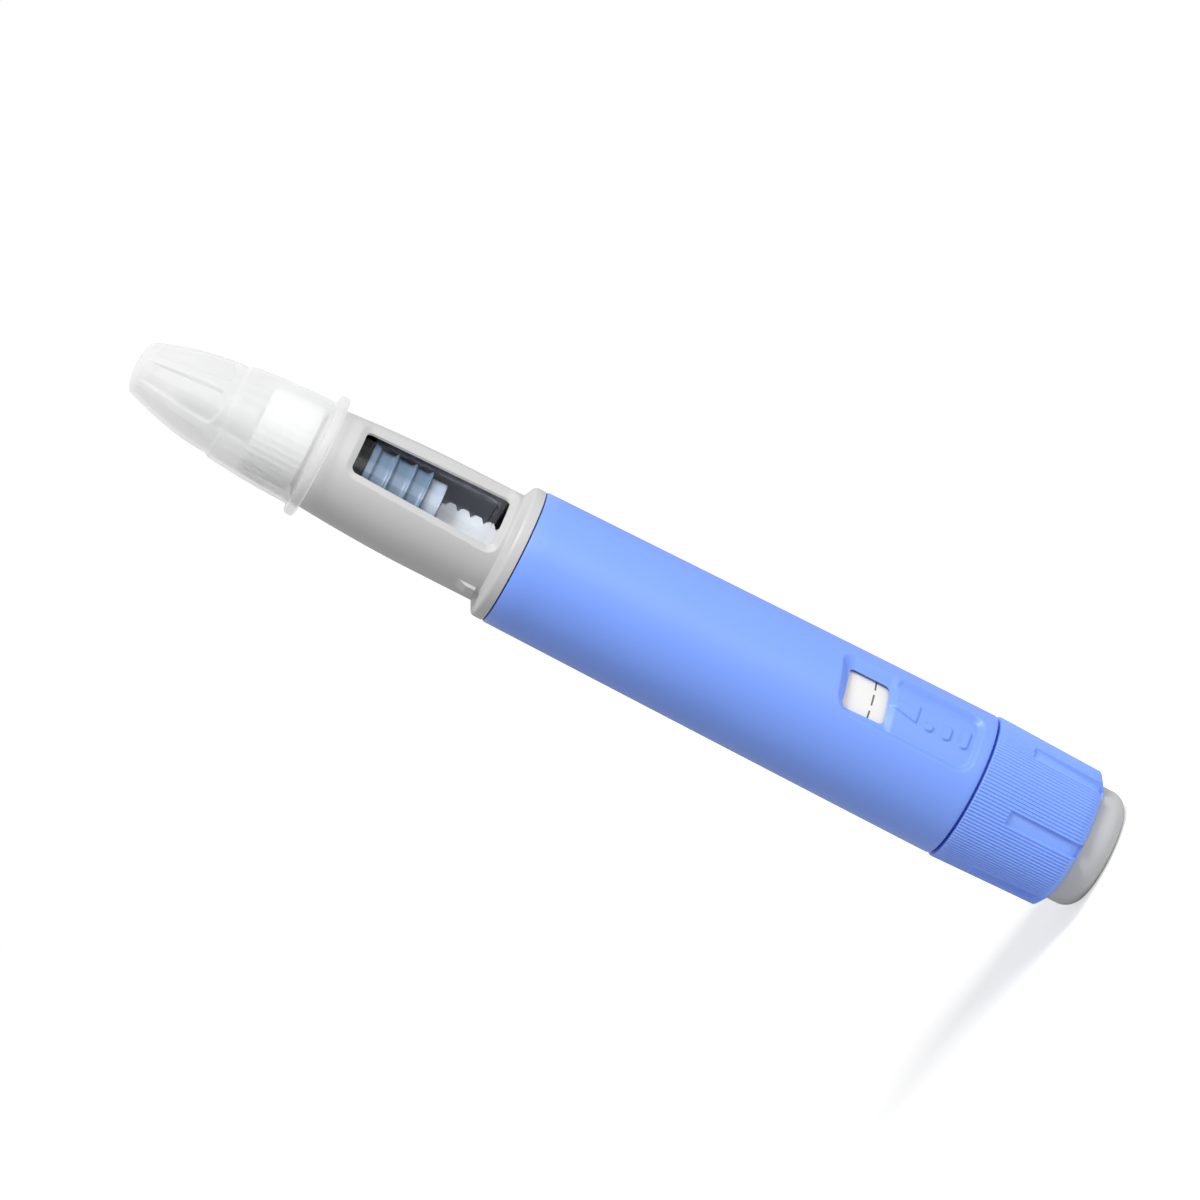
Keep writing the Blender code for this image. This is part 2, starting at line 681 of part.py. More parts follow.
def make_piston_guide(material):
    """Fixed nut plate for the rod, with a tube that ends behind the cartridge window."""
    rod_bore = ROD_RADIUS + GAP
    tube_front = holder_window_rear - GUIDE_TUBE_BEHIND_WINDOW
    tube_radius = CARTRIDGE_RADIUS
    section = [
        (rod_bore, guide_rear), (skirt_radius, guide_rear), (skirt_radius, guide_front),
        (tube_radius, guide_front), (tube_radius, tube_front), (tube_radius - GUIDE_TUBE_WALL, tube_front),
        (tube_radius - GUIDE_TUBE_WALL, guide_front), (rod_bore, guide_front),
    ]
    return turned("piston_guide", section, material, SMALL_FACETS)


def make_spring_base(material):
    """Fixed ring that holds the front end of the torsion spring."""
    section = [(nut_bore, spring_base_rear), (skirt_radius, spring_base_rear),
               (skirt_radius, spring_base_front), (nut_bore, spring_base_front)]
    return turned("spring_base", section, material, SMALL_FACETS)


def make_torsion_spring(material):
    """Wound spring round the drive tube that stores the dose's effort."""
    return coil("torsion_spring", (drive_radius + reset_bore) / 2, TORSION_WIRE, torsion_rear, torsion_front,
                TORSION_TURNS, material)


def glass_cone(radius):
    """Height of the glass shoulder's cone at a radius."""
    slope = CARTRIDGE_SHOULDER / (CARTRIDGE_RADIUS - CARTRIDGE_NECK_RADIUS)
    return glass_barrel_front + (CARTRIDGE_RADIUS - radius) * slope


def make_cartridge_holder(material):
    """Grey barrel with a skirt in the housing, a collar, a long window and a threaded nose."""
    slope_turn = (collar_radius - holder_rear_radius) / 2
    taper_rear = holder_front - HOLDER_TAPER_LENGTH
    taper_middle = taper_rear + HOLDER_TAPER_BEND * HOLDER_TAPER_LENGTH
    middle_radius = holder_rear_radius - HOLDER_TAPER_BEND_DROP * (holder_rear_radius - holder_front_radius)
    shoulder_drop = holder_front_radius - nose_radius
    outer = [
        (skirt_radius, skirt_rear), (skirt_radius, collar_rear), (collar_radius, collar_rear),
        (collar_radius, collar_front - GAP), (collar_radius - GAP, collar_front),
        (holder_rear_radius + slope_turn / 2, holder_barrel_rear - GAP),
        (holder_rear_radius, holder_barrel_rear + GAP), (holder_rear_radius, taper_rear),
        (middle_radius, taper_middle), (holder_front_radius, holder_front),
    ]
    rounding = [(holder_front_radius - shoulder_drop * (1 - math.cos(math.radians(turn))),
                 holder_front + HOLDER_SHOULDER * math.sin(math.radians(turn))) for turn in (30, 60, 90)]
    nose = [(nose_radius, nose_front - GAP), (nose_radius - GAP, nose_front),
            (NOSE_HOLE_RADIUS, nose_front), (NOSE_HOLE_RADIUS, nose_bore_front)]
    inner = [(nose_bore, nose_bore_front), (nose_bore, glass_cone(nose_bore) + HOLDER_GLASS_CLEARANCE),
             (holder_bore, glass_cone(holder_bore) + HOLDER_GLASS_CLEARANCE), (holder_bore, skirt_rear)]
    holder = turned("cartridge_holder", [*outer, *rounding, *nose, *inner], material)
    combine(holder, holder_window_cutter(), "DIFFERENCE")
    for side in (-1, 1):
        combine(holder, snap_bump(side), "UNION")
    return holder


def holder_window_cutter():
    """Long window that widens to the rear, with bevelled edges."""
    outside = holder_rear_radius + 2 * GAP

    def layer(radius):
        bevel = max(radius - holder_bore, 0.0) / HOLDER_REAR_WALL
        rear_half = radius * math.radians(HOLDER_WINDOW_REAR_ANGLE + HOLDER_WINDOW_BEVEL_ANGLE * bevel)
        front_half = radius * math.radians(HOLDER_WINDOW_FRONT_ANGLE + HOLDER_WINDOW_BEVEL_ANGLE * bevel)
        rear = holder_window_rear - WINDOW_BEVEL * bevel
        front = holder_window_front + WINDOW_BEVEL * bevel
        corners = [(-rear_half, rear), (rear_half, rear), (front_half, front), (-front_half, front)]
        return radius, rounded_outline(corners, HOLDER_WINDOW_CORNER)

    layers = [layer(holder_bore - 2 * GAP), layer(holder_bore), layer(outside)]
    return cutter("holder_window_cutter", layers, outside + GAP)


def snap_bump(side):
    """Small wedge beside the collar that the pen cap clicks over."""
    sunk = holder_rear_radius - 2 * GAP
    top = holder_rear_radius + SNAP_HEIGHT
    rear = holder_barrel_rear + GAP
    form = bmesh.new()
    base = [(-0.5, rear), (0.5, rear), (0.5, rear + SNAP_LENGTH), (-0.5, rear + SNAP_LENGTH)]
    heights = (top, top, holder_rear_radius - GAP / 3, holder_rear_radius - GAP / 3)
    lower, upper = [], []
    for (across, height), reach in zip(base, heights):
        turn = side * 90 + math.degrees(across * SNAP_WIDTH / holder_rear_radius)
        lower.append(form.verts.new(polar(sunk, turn, height)))
        upper.append(form.verts.new(polar(reach, turn, height)))
    join_rings(form, lower, upper)
    form.faces.new(lower)
    form.faces.new(upper)
    bmesh.ops.triangulate(form, faces=form.faces)
    name = "snap_bump_left" if side < 0 else "snap_bump_right"
    tool = finish(name, form, surface(name, (1.0, 0.2, 0.2), 0.5))
    tool.hide_render = True
    tool.display_type = "WIRE"
    return tool


def housing_radius(height):
    """Outer radius of the tapered housing at a height."""
    share = (height - housing_rear) / HOUSING_LENGTH
    return housing_rear_radius + (housing_front_radius - housing_rear_radius) * share


def make_housing(material):
    """Tapered blue shell with a stepped bore, a neck for the selector and a recessed dose window."""
    edge = HOUSING_EDGE
    neck_bore = rear_bore - 2 * GAP
    neck_outer = min(neck_radius, housing_rear_radius - 2 * edge)
    section = [
        (neck_bore - GAP, neck_rear), (neck_outer, neck_rear), (neck_outer, housing_rear),
        (housing_rear_radius - edge, housing_rear), (housing_rear_radius, housing_rear + edge),
        (housing_front_radius, housing_front - edge), (housing_front_radius - edge, housing_front),
        (front_bore, housing_front), (front_bore, bore_step), (rear_bore, bore_step),
        (rear_bore, housing_rear + GAP), (neck_bore - GAP, housing_rear),
    ]
    housing = turned("housing", section, material, FINE_FACETS)
    combine(housing, recess_cutter(), "DIFFERENCE")
    combine(housing, window_cutter(), "DIFFERENCE")
    combine(housing, pointer_block(), "UNION")
    return housing


def recess_outline(radius, side_inset, rear_inset, front_inset):
    """Outline of the recess on a cylinder, with its front end slanted."""
    half = radius * math.radians(RECESS_HALF_ANGLE) - side_inset
    rear = housing_rear + RECESS_REAR + rear_inset
    front = housing_rear + RECESS_REAR + RECESS_LENGTH - front_inset
    corners = [(-half, rear), (half, rear), (half, front), (-half, front - RECESS_SLANT)]
    return rounded_outline(corners, RECESS_CORNER)


def recess_floor_radius():
    """Radius of the recess floor, which is round about the axis."""
    return housing_radius(housing_rear + RECESS_REAR + RECESS_LENGTH) - RECESS_DEPTH


def recess_cutter():
    """Shallow pocket with sloping walls and a floor that is round about the axis."""
    floor = recess_floor_radius()
    outside = housing_rear_radius + GAP

    def layer(radius):
        sunk = 1 - (radius - floor) / RECESS_DEPTH
        outline = recess_outline(radius, sunk * RECESS_WALL_RUN, sunk * RECESS_END_RUN, sunk * RECESS_WALL_RUN)
        return radius, outline

    tool = cutter("recess_cutter", [layer(floor - GAP), layer(outside)], outside + GAP)
    core = turned("recess_floor", [(0.0, housing_rear), (floor, housing_rear), (floor, housing_front),
                                   (0.0, housing_front)], tool.data.materials[0], FINE_FACETS)
    core.hide_render = True
    core.display_type = "WIRE"
    combine(tool, core, "DIFFERENCE")
    return tool


def window_cutter():
    """Slanted dose window with a wide ramp on its button side and narrow ones elsewhere."""
    floor = recess_floor_radius()
    front = housing_rear + RECESS_REAR + RECESS_LENGTH - WINDOW_FROM_RECESS_TOP
    rear = front - WINDOW_LENGTH

    def layer(radius, widen, ahead, behind):
        half = radius * math.radians(WINDOW_HALF_ANGLE + widen)
        slant = WINDOW_SLANT
        corners = [(-half, rear - slant - behind), (half, rear - behind),
                   (half, front + ahead), (-half, front - slant + ahead / 3)]
        return radius, rounded_outline(corners, WINDOW_CORNER)

    side = RECESS_HALF_ANGLE - WINDOW_HALF_ANGLE - WINDOW_SIDE_MARGIN
    ahead = WINDOW_FROM_RECESS_TOP - RECESS_WALL_RUN
    outside = housing_rear_radius + GAP
    layers = [
        layer(rear_bore - GAP, 0.0, 0.0, 0.0), layer(rear_bore, 0.0, 0.0, 0.0),
        layer(floor + GAP / 10, side, ahead, WINDOW_RAMP), layer(outside, side, ahead, WINDOW_RAMP),
    ]
    return cutter("window_cutter", layers, outside + 2 * GAP)


def pointer_block():
    """Raised pointer on the recess floor, narrowing towards the dose window."""
    floor = recess_floor_radius()
    top = floor + POINTER_HEIGHT
    window_rear = housing_rear + RECESS_REAR + RECESS_LENGTH - WINDOW_FROM_RECESS_TOP - WINDOW_LENGTH
    front = window_rear - WINDOW_RAMP - WINDOW_SLANT - GAP / 2
    rear = front - POINTER_LENGTH

    def layer(radius):
        wide = radius * math.radians(POINTER_HALF_ANGLE)
        narrow = radius * math.radians(POINTER_TIP_HALF_ANGLE)
        middle = radius * math.radians(POINTER_AZIMUTH)
        return radius, [(middle - wide, rear), (middle + wide, rear), (middle + narrow, front),
                        (middle - narrow, front)]

    return cutter("pointer_block", [layer(floor - GAP), layer(top)])


def make_needle_hub(material):
    """Hub that screws on the holder's nose, with grip ribs and a tower for the needle."""
    needle_bore = NEEDLE_RADIUS + GAP
    count = 3 * HUB_RIBS

    def ribbed(azimuth):
        return hub_radius + (HUB_RIB_HEIGHT if round(azimuth * count / 360) % 3 == 0 else 0.0)

    rings = [
        (count, hub_rear, ribbed), (count, hub_front, ribbed),
        (SMALL_FACETS, hub_front, HUB_TOWER_RADIUS), (SMALL_FACETS, tower_front, HUB_TOWER_RADIUS),
        (SMALL_FACETS // 2, tower_front, needle_bore), (SMALL_FACETS // 2, hub_inner_front, needle_bore),
        (SMALL_FACETS, hub_inner_front, hub_bore), (SMALL_FACETS, hub_rear, hub_bore),
    ]
    return lofted("needle_hub", rings, material)


def make_needle(material):
    """Thin steel needle tube, pointed at both ends in the real one."""
    section = [(0.0, needle_rear), (NEEDLE_RADIUS, needle_rear + NEEDLE_RADIUS),
               (NEEDLE_RADIUS, needle_front - 3 * NEEDLE_RADIUS), (0.0, needle_front)]
    return turned("needle_cannula", section, material, 8)


def make_inner_cap(material):
    """Slim inner cap that sheathes the needle."""
    bore = HUB_TOWER_RADIUS + GAP
    mouth = bore + INNER_CAP_WALL
    rear = hub_front + GAP
    front = needle_front + INNER_CAP_TIP_GAP
    tip_bore = bore - INNER_CAP_DRAFT
    tip = mouth - INNER_CAP_DRAFT
    inner_front = front - INNER_CAP_TIP_WALL
    section = [(bore, rear), (mouth, rear), (tip, front - INNER_CAP_TIP_WALL),
               (tip - INNER_CAP_TIP_WALL, front), (0.0, front), (0.0, inner_front),
               (tip_bore, inner_front - INNER_CAP_TIP_WALL)]
    return turned("inner_needle_cap", section, material, SMALL_FACETS)


def cap_nose_radius(height, start_radius, start):
    """Outer radius of the cap's long nose, which tapers faster towards its tip."""
    end = cap_front - CAP_TIP_HEIGHT
    share = (height - start) / (end - start)
    return start_radius - (start_radius - CAP_TIP_RADIUS) * max(share, 0.0) ** CAP_TAPER_POWER


def make_outer_cap(material):
    """Outer needle cap: flange, skirt, shoulder and a fluted nose with a domed tip."""
    flange_front = cap_rear + CAP_FLANGE_THICKNESS
    shoulder = cap_rear + CAP_SKIRT_LENGTH
    nose_start = shoulder + CAP_SHOULDER_LENGTH
    nose_radius_start = cap_shoulder_radius - CAP_SHOULDER_STEP
    tip_base = cap_front - CAP_TIP_HEIGHT
    count = 8 * CAP_RIBS
    spacing = 360 / CAP_RIBS

    def fluted(radius, depth):
        def radius_at(azimuth):
            off_centre = (azimuth - CAP_RIB_AZIMUTH + spacing / 2) % spacing - spacing / 2
            inside = max(abs(off_centre) - CAP_RIB_HALF_ANGLE, 0.0) / (spacing / 2 - CAP_RIB_HALF_ANGLE)
            return radius - depth * math.sin(math.pi / 2 * min(2 * inside, 1.0))
        return radius_at

    skirt_middle = (cap_skirt_radius + cap_shoulder_radius) / 2 + GAP / 3
    rings = [
        (FACETS, cap_rear, cap_flange_radius - GAP),
        (FACETS, cap_rear + GAP, cap_flange_radius),
        (FACETS, flange_front - GAP, cap_flange_radius),
        (FACETS, flange_front, cap_flange_radius - GAP),
        (FACETS, flange_front + GAP, cap_skirt_radius),
        (FACETS, (flange_front + shoulder) / 2, skirt_middle),
        (FACETS, shoulder, cap_shoulder_radius),
        (count, nose_start, fluted(nose_radius_start, 0.0)),
    ]
    nose_steps = 4
    for step in range(1, nose_steps + 1):
        height = nose_start + (tip_base - nose_start) * step / nose_steps
        depth = CAP_FLUTE_DEPTH if step < nose_steps else CAP_FLUTE_DEPTH / 2
        radius = cap_nose_radius(height, nose_radius_start, nose_start)
        rings.append((count, height, fluted(radius, depth)))
    for turn in (35, 65):
        tip = CAP_TIP_RADIUS * math.cos(math.radians(turn))
        height = tip_base + CAP_TIP_HEIGHT * math.sin(math.radians(turn))
        rings.append((SMALL_FACETS, height, tip))
    outer_count = len(rings)
    inner_rings = []
    for step in range(nose_steps, 0, -2):
        height = nose_start + (tip_base - nose_start) * step / nose_steps - CAP_WALL
        radius = cap_nose_radius(height, nose_radius_start, nose_start)
        inner_rings.append((SMALL_FACETS, height, radius - CAP_WALL - CAP_FLUTE_DEPTH))
    inner_rings += [
        (INNER_FACETS, nose_start - CAP_WALL, nose_radius_start - CAP_WALL),
        (INNER_FACETS, shoulder - CAP_WALL, cap_shoulder_bore),
        (INNER_FACETS, (flange_front + shoulder) / 2, skirt_middle - CAP_WALL),
        (INNER_FACETS, flange_front + GAP, cap_skirt_radius - CAP_WALL),
        (FACETS, cap_rear, cap_mouth_bore),
    ]
    form = bmesh.new()
    loops = []
    for loop_count, height, radius in rings + inner_rings:
        radius_at = radius if callable(radius) else lambda azimuth, size=radius: size
        loops.append(ring(form, loop_count, height, radius_at))
    for k in range(1, len(loops)):
        if k != outer_count:
            join_rings(form, loops[k - 1], loops[k])
    join_rings(form, loops[-1], loops[0])
    apex = [form.verts.new((0, 0, cap_front))]
    inner_apex = [form.verts.new((0, 0, tip_base))]
    join_rings(form, loops[outer_count - 1], apex)
    join_rings(form, inner_apex, loops[outer_count])
    return finish("outer_needle_cap", form, material)


def main():
    """Clears the scene and makes every piece of the pen."""
    for old in list(bpy.data.objects):
        bpy.data.objects.remove(old)
    white = (0.86, 0.87, 0.88)
    make_housing(surface("housing_blue", (0.17, 0.33, 0.88), 0.38))
    make_cartridge_holder(surface("holder_grey", (0.50, 0.50, 0.49), 0.45))
    make_glass(surface("cartridge_glass", (0.85, 0.90, 0.92), 0.05, alpha=0.3))
    make_septum(surface("septum_rubber", (0.32, 0.30, 0.30), 0.8))
    make_crimp_cap(surface("crimp_aluminium", (0.80, 0.80, 0.82), 0.3, metallic=1.0))
    make_piston_guide(surface("guide_dark_grey", (0.10, 0.10, 0.13), 0.5))
    make_spring_base(surface("spring_base_grey", (0.30, 0.31, 0.33), 0.5))
    make_torsion_spring(surface("torsion_steel", (0.60, 0.60, 0.62), 0.3, metallic=1.0))
    make_plunger(surface("plunger_rubber", (0.24, 0.33, 0.48), 0.5))
    make_piston_foot(surface("foot_white", white, 0.4))
    make_piston_rod(surface("rod_white", white, 0.4))
    make_drive_tube(surface("drive_tube_grey", (0.45, 0.46, 0.50), 0.5))
    make_content_nut(surface("nut_white", white, 0.5))
    make_reset_tube(surface("reset_tube_grey", (0.40, 0.42, 0.45), 0.5))
    make_scale_drum(surface("drum_white", (0.90, 0.90, 0.89), 0.5))
    make_dose_selector(surface("selector_blue", (0.15, 0.30, 0.85), 0.4))
    make_dose_button(surface("button_grey", (0.46, 0.47, 0.46), 0.4))
    make_button_spring(surface("button_spring_steel", (0.60, 0.60, 0.62), 0.3, metallic=1.0))
    make_needle_hub(surface("hub_white", white, 0.5))
    make_needle(surface("needle_steel", (0.55, 0.55, 0.57), 0.25, metallic=1.0))
    make_inner_cap(surface("inner_cap_white", white, 0.5))
    make_outer_cap(surface("outer_cap_white", (0.93, 0.94, 0.95), 0.3, alpha=0.5))


main()
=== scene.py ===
"""Looks of an injection pen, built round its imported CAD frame.

Every class below is one sub-assembly of the pen. Its sizes are dataclass fields in millimetres, it
builds its meshes in code and it dresses them in finishes that are named for the real materials. The
frame stands on its dose button: Z runs up to the needle, and an azimuth is counted in degrees from
-Y, the side of both windows, towards +X.
"""
from __future__ import annotations

import logging
import math
from dataclasses import dataclass, field
from enum import Enum
from typing import Any, Callable, Sequence

import bmesh
import bpy
import numpy as np
from mathutils import Matrix, Vector

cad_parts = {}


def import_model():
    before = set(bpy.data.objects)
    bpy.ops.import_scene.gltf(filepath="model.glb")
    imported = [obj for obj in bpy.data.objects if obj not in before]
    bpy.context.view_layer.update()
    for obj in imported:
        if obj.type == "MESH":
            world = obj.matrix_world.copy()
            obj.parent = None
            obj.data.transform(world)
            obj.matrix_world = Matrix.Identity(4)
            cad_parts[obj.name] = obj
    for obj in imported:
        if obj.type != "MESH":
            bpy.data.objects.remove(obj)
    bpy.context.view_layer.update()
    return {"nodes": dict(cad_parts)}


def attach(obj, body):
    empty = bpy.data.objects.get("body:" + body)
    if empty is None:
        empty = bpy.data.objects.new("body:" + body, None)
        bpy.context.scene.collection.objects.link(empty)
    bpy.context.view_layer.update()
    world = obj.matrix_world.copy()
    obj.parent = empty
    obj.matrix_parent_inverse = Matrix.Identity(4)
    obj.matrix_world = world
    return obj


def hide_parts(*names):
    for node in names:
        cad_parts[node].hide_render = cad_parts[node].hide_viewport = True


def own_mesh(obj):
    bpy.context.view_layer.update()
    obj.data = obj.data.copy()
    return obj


LOG = logging.getLogger("injection_pen")
MM = 0.001
TURN = 360.0
GLOSS_SPREAD = 0.05

Profile = list[tuple[float, float]]


class Body(str, Enum):
    """Bodies of the frame that the pieces ride on."""

    HOUSING = "housing"
    NEEDLE_TUBE = "needle_tube"
    NEEDLE = "needle"
    INNER_CAP = "inner_cap"
    OUTER_CAP = "outer_cap"
    PLUNGER = "plunger"
    ROD = "rod"
    SELECTOR = "selector"
    DRUM = "drum"
    BUTTON = "button"


class Slot(str, Enum):
    """Material slots of the record that the pieces stand for."""

    HOUSING = "housing_plastic"
    GREY = "grey_plastic"
    GLASS = "clear_glass"
    DARK = "dark_plastic"
    SPRING = "spring_steel"
    PLUNGER = "plunger_rubber"
    WHITE = "white_plastic"
    DRUM = "drum_plastic"
    SELECTOR = "selector_plastic"
    BUTTON = "button_plastic"
    NEEDLE = "needle_steel"
    CAP = "cap_plastic"


# ---------------------------------------------------------------------------------------------
# Colours and shader nodes
# ---------------------------------------------------------------------------------------------


def linear(code: str) -> tuple[float, float, float, float]:
    """Turns an sRGB hex colour into linear values.

    Args:
        code: Six hex digits, such as "739bf5".

    Returns:
        Red, green, blue and an alpha of 1.
    """
    values = []
    # The sRGB curve has a straight foot and runs on as a power of 2.4.
    for start in (0, 2, 4):
        value = int(code[start:start + 2], 16) / 255
        values.append(value / 12.92 if value <= 0.04045 else ((value + 0.055) / 1.055) ** 2.4)
    return values[0], values[1], values[2], 1.0


def add_node(tree: bpy.types.NodeTree, kind: str, settings: dict[str, Any] | None = None,
             **inputs: Any) -> bpy.types.Node:
    """Adds a shader node, sets its properties and feeds its inputs.

    Args:
        tree: Node tree that the node goes into.
        kind: Node type without its ShaderNode prefix.
        settings: Properties of the node itself.
        **inputs: A value or an output socket for each input, its name in lower case with
            underscores; a name such as n1 picks an input by its number.

    Returns:
        The new node.
    """
    node = tree.nodes.new("ShaderNode" + kind)
    for name, value in (settings or {}).items():
        setattr(node, name, value)
    for name, value in inputs.items():
        if name[0] == "n" and name[1:].isdigit():
            socket = node.inputs[int(name[1:])]
        else:
            socket = next(entry for entry in node.inputs
                          if entry.name.lower().replace(" ", "_") == name and entry.enabled)
        if isinstance(value, bpy.types.NodeSocket):
            tree.links.new(value, socket)
        else:
            socket.default_value = value
    return node


def emptied(owner: bpy.types.Material | bpy.types.World) -> bpy.types.NodeTree:
    """Turns on the nodes of a material or world and clears them.

    Args:
        owner: The new material or world.

    Returns:
        Its empty node tree.
    """
    owner.use_nodes = True
    owner.node_tree.nodes.clear()
    return owner.node_tree


def linked(name: str, data: bpy.types.ID) -> bpy.types.Object:
    """Makes an object and links it into the scene.

    Args:
        name: Name of the object.
        data: What it holds: a mesh, a light or a camera.

    Returns:
        The new object.
    """
    item = bpy.data.objects.new(name, data)
    bpy.context.scene.collection.objects.link(item)
    return item


@dataclass(frozen=True)
class Finish:
    """One surface: a base material as it was made, with its colour, gloss and texture.

    Attributes:
        name: Common name of the material and how it was made.
        colour: sRGB hex colour.
        shade: Second sRGB hex colour that the mottling runs to.
        roughness: Middle roughness of the surface.
        ior: Index of refraction.
        grain_mm: Width of one grain of the surface texture.
        grain_depth_mm: Height of that grain.
        mottle_mm: Width of one patch of the slow colour variation.
        metallic: 1 for a metal.
        transmission: Share of light that passes, for glass.
        alpha: Opacity of one wall of a see-through moulding.
        subsurface: Share of light that scatters below the surface.
        subsurface_mm: How far that light travels.
        translucent: Share of light that a thin wall lets glow through.
        passes: Share of a lamp's light that goes on through the wall as if it weren't there.
        specular: Strength of the surface's reflection; 0.5 is that of the index of refraction.
    """

    name: str
    colour: str
    shade: str
    roughness: float
    ior: float = 1.5
    grain_mm: float = 0.25
    grain_depth_mm: float = 0.006
    mottle_mm: float = 6.0
    metallic: float = 0.0
    transmission: float = 0.0
    alpha: float = 1.0
    subsurface: float = 0.0
    subsurface_mm: float = 0.5
    translucent: float = 0.0
    passes: float = 0.0
    specular: float = 0.5

    def material(self) -> bpy.types.Material:
        """Makes the material once and returns it again for later pieces.

        Returns:
            The node-based material.
        """
        known = bpy.data.materials.get(self.name)
        if known:
            return known
        material = bpy.data.materials.new(self.name)
        tree = emptied(material)
        place = add_node(tree, "TexCoord").outputs["Object"]
        patches = add_node(tree, "TexNoise", vector=place, scale=1 / (self.mottle_mm * MM),
                           detail=3.0)
        grain = add_node(tree, "TexNoise", vector=place, scale=1 / (self.grain_mm * MM), detail=2.0)
        colour = add_node(tree, "Mix", {"data_type": "RGBA"}, n0=patches.outputs["Fac"],
                          n6=linear(self.colour), n7=linear(self.shade))
        gloss = add_node(tree, "MapRange", value=grain.outputs["Fac"],
                         to_min=self.roughness - GLOSS_SPREAD, to_max=self.roughness + GLOSS_SPREAD)
        relief = add_node(tree, "Bump", height=grain.outputs["Fac"],
                          distance=self.grain_depth_mm * MM, strength=1.0)
        shader = add_node(tree, "BsdfPrincipled", base_color=colour.outputs[2],
                          roughness=gloss.outputs["Result"], ior=self.ior, metallic=self.metallic,
                          alpha=self.alpha, transmission_weight=self.transmission,
                          subsurface_weight=self.subsurface,
                          subsurface_scale=self.subsurface_mm * MM,
                          specular_ior_level=self.specular, normal=relief.outputs["Normal"])
        surface = shader.outputs["BSDF"]
        if self.translucent:
            glow = add_node(tree, "BsdfTranslucent", color=colour.outputs[2])
            clear = add_node(tree, "BsdfTransparent")
            glow = add_node(tree, "MixShader", n0=self.alpha, n1=clear.outputs[0],
                            n2=glow.outputs[0])
            mixed = add_node(tree, "MixShader", n0=self.translucent, n1=surface,
                             n2=glow.outputs[0])
            surface = mixed.outputs[0]
        if self.passes:
            ray = add_node(tree, "LightPath").outputs
            share = add_node(tree, "Math", {"operation": "MULTIPLY"}, n0=ray["Is Shadow Ray"],
                             n1=self.passes)
            clear = add_node(tree, "BsdfTransparent")
            mixed = add_node(tree, "MixShader", n0=share.outputs[0], n1=surface,
                             n2=clear.outputs[0])
            surface = mixed.outputs[0]
        add_node(tree, "OutputMaterial", surface=surface)
        return material


# Polycarbonate-ABS shell, injection moulded in a spark-eroded mould: an even satin with a fine
# grain. The real grain is about 0.05 mm; it is drawn at 0.2 mm so that it shows at all, and so is
# that of the other plastics. The slow mottling of some millimetres is the pigment's in the melt.
HOUSING_PLASTIC = Finish("pc_abs_blue_moulded", "7ca2fc", "789efa", 0.42, 1.55, 0.2, 0.003, 9.0)
# The same blue in plain ABS, off a mould that was polished for its fine ribs: a softer sheen and
# next to no grain, so that the ribs read as clean lines. It is drawn lighter than the housing's
# blue: painted light that makes up for the shade between its ribs.
SELECTOR_PLASTIC_PAINTED_LIGHT = Finish("abs_blue_moulded", "8aafff", "86abfd", 0.42, 1.54, 0.2, 0.0008, 7.0,
                          specular=0.4)
# Polycarbonate holder, moulded in warm light grey: satin, a little glossier on edges.
HOLDER_PLASTIC = Finish("polycarbonate_grey_moulded", "c4c4c4", "bfbfbf", 0.45, 1.58, 0.22, 0.006,
                        6.0)
# Its bore is a paler copy of the holder's grey: painted light that lifts the dim grey seen behind
# the glass. Its throat, round the filled front of the glass, is a nearly black copy: painted shade.
HOLDER_BORE_PAINTED_LIGHT = Finish("polycarbonate_polished_bore", "efecf5", "e9e6f0", 0.5, 1.58, 0.2, 0.002, 6.0)
HOLDER_THROAT_PAINTED_SHADE = Finish("polycarbonate_dark_throat", "121214", "101012", 0.5, 1.58, 0.2, 0.002, 6.0)
# ABS push button, moulded in a cooler grey: satin, with a grain that shows on its broad end.
BUTTON_PLASTIC = Finish("abs_grey_moulded", "c1c2c2", "bdbebe", 0.42, 1.54, 0.22, 0.004, 5.0)
# Acetal, the slippery plastic of threads and gears: white, a little waxy and see-through at its
# skin.
# The foot is a darker, bluer copy of the rod's acetal: painted shade for how it lies behind the
# glass beside the plunger.
ROD_ACETAL = Finish("acetal_white_moulded", "c6c5c8", "c1c0c3", 0.38, 1.48, 0.3, 0.001, 4.0,
                    subsurface=0.2, subsurface_mm=0.4)
FOOT_ACETAL_PAINTED_SHADE = Finish("acetal_white_foot", "a0a6b2", "9ba1ad", 0.42, 1.48, 0.3, 0.001, 4.0,
                     subsurface=0.2, subsurface_mm=0.4)
# Grey acetal of the inner tubes: the same wax, dulled by its filler.
GREY_ACETAL = Finish("acetal_grey_moulded", "b0b1b8", "a9aab2", 0.45, 1.48, 0.3, 0.001, 4.0)
# Filled polyamide of the guides, made dark and dull as painted shade: it stands in for the shade
# inside the holder, so that it drops back behind the clear parts.
GUIDE_PLASTIC_PAINTED_SHADE = Finish("polyamide_dark_moulded", "37373d", "323238", 0.5, 1.53, 0.25, 0.0015, 4.0)
# ABS drum, moulded in warm white: smooth and even, as a ground for print has to be.
DRUM_PLASTIC = Finish("abs_white_moulded", "eae9e6", "e5e4e1", 0.45, 1.54, 0.3, 0.001, 5.0)
# Pad-printed scale on the drum: a thin film of matt ink, dark grey with a brown cast.
SCALE_INK = Finish("pad_printed_ink", "6a605b", "625853", 0.6, 1.5, 0.12, 0.001, 1.0)
# Bromobutyl rubber plunger, moulded and siliconised: smooth blue grey with soft wide highlights.
PLUNGER_RUBBER = Finish("bromobutyl_rubber_siliconised", "5f6f83", "5a6a7e", 0.24, 1.51, 0.6, 0.001,
                        3.0, subsurface=0.15, subsurface_mm=0.4)
# Rubber disc punched from a laminated sheet: dull, with a dusty warm grey face.
SEPTUM_RUBBER = Finish("laminated_rubber_disc", "8f8a88", "878280", 0.7, 1.51, 0.3, 0.003, 2.0)
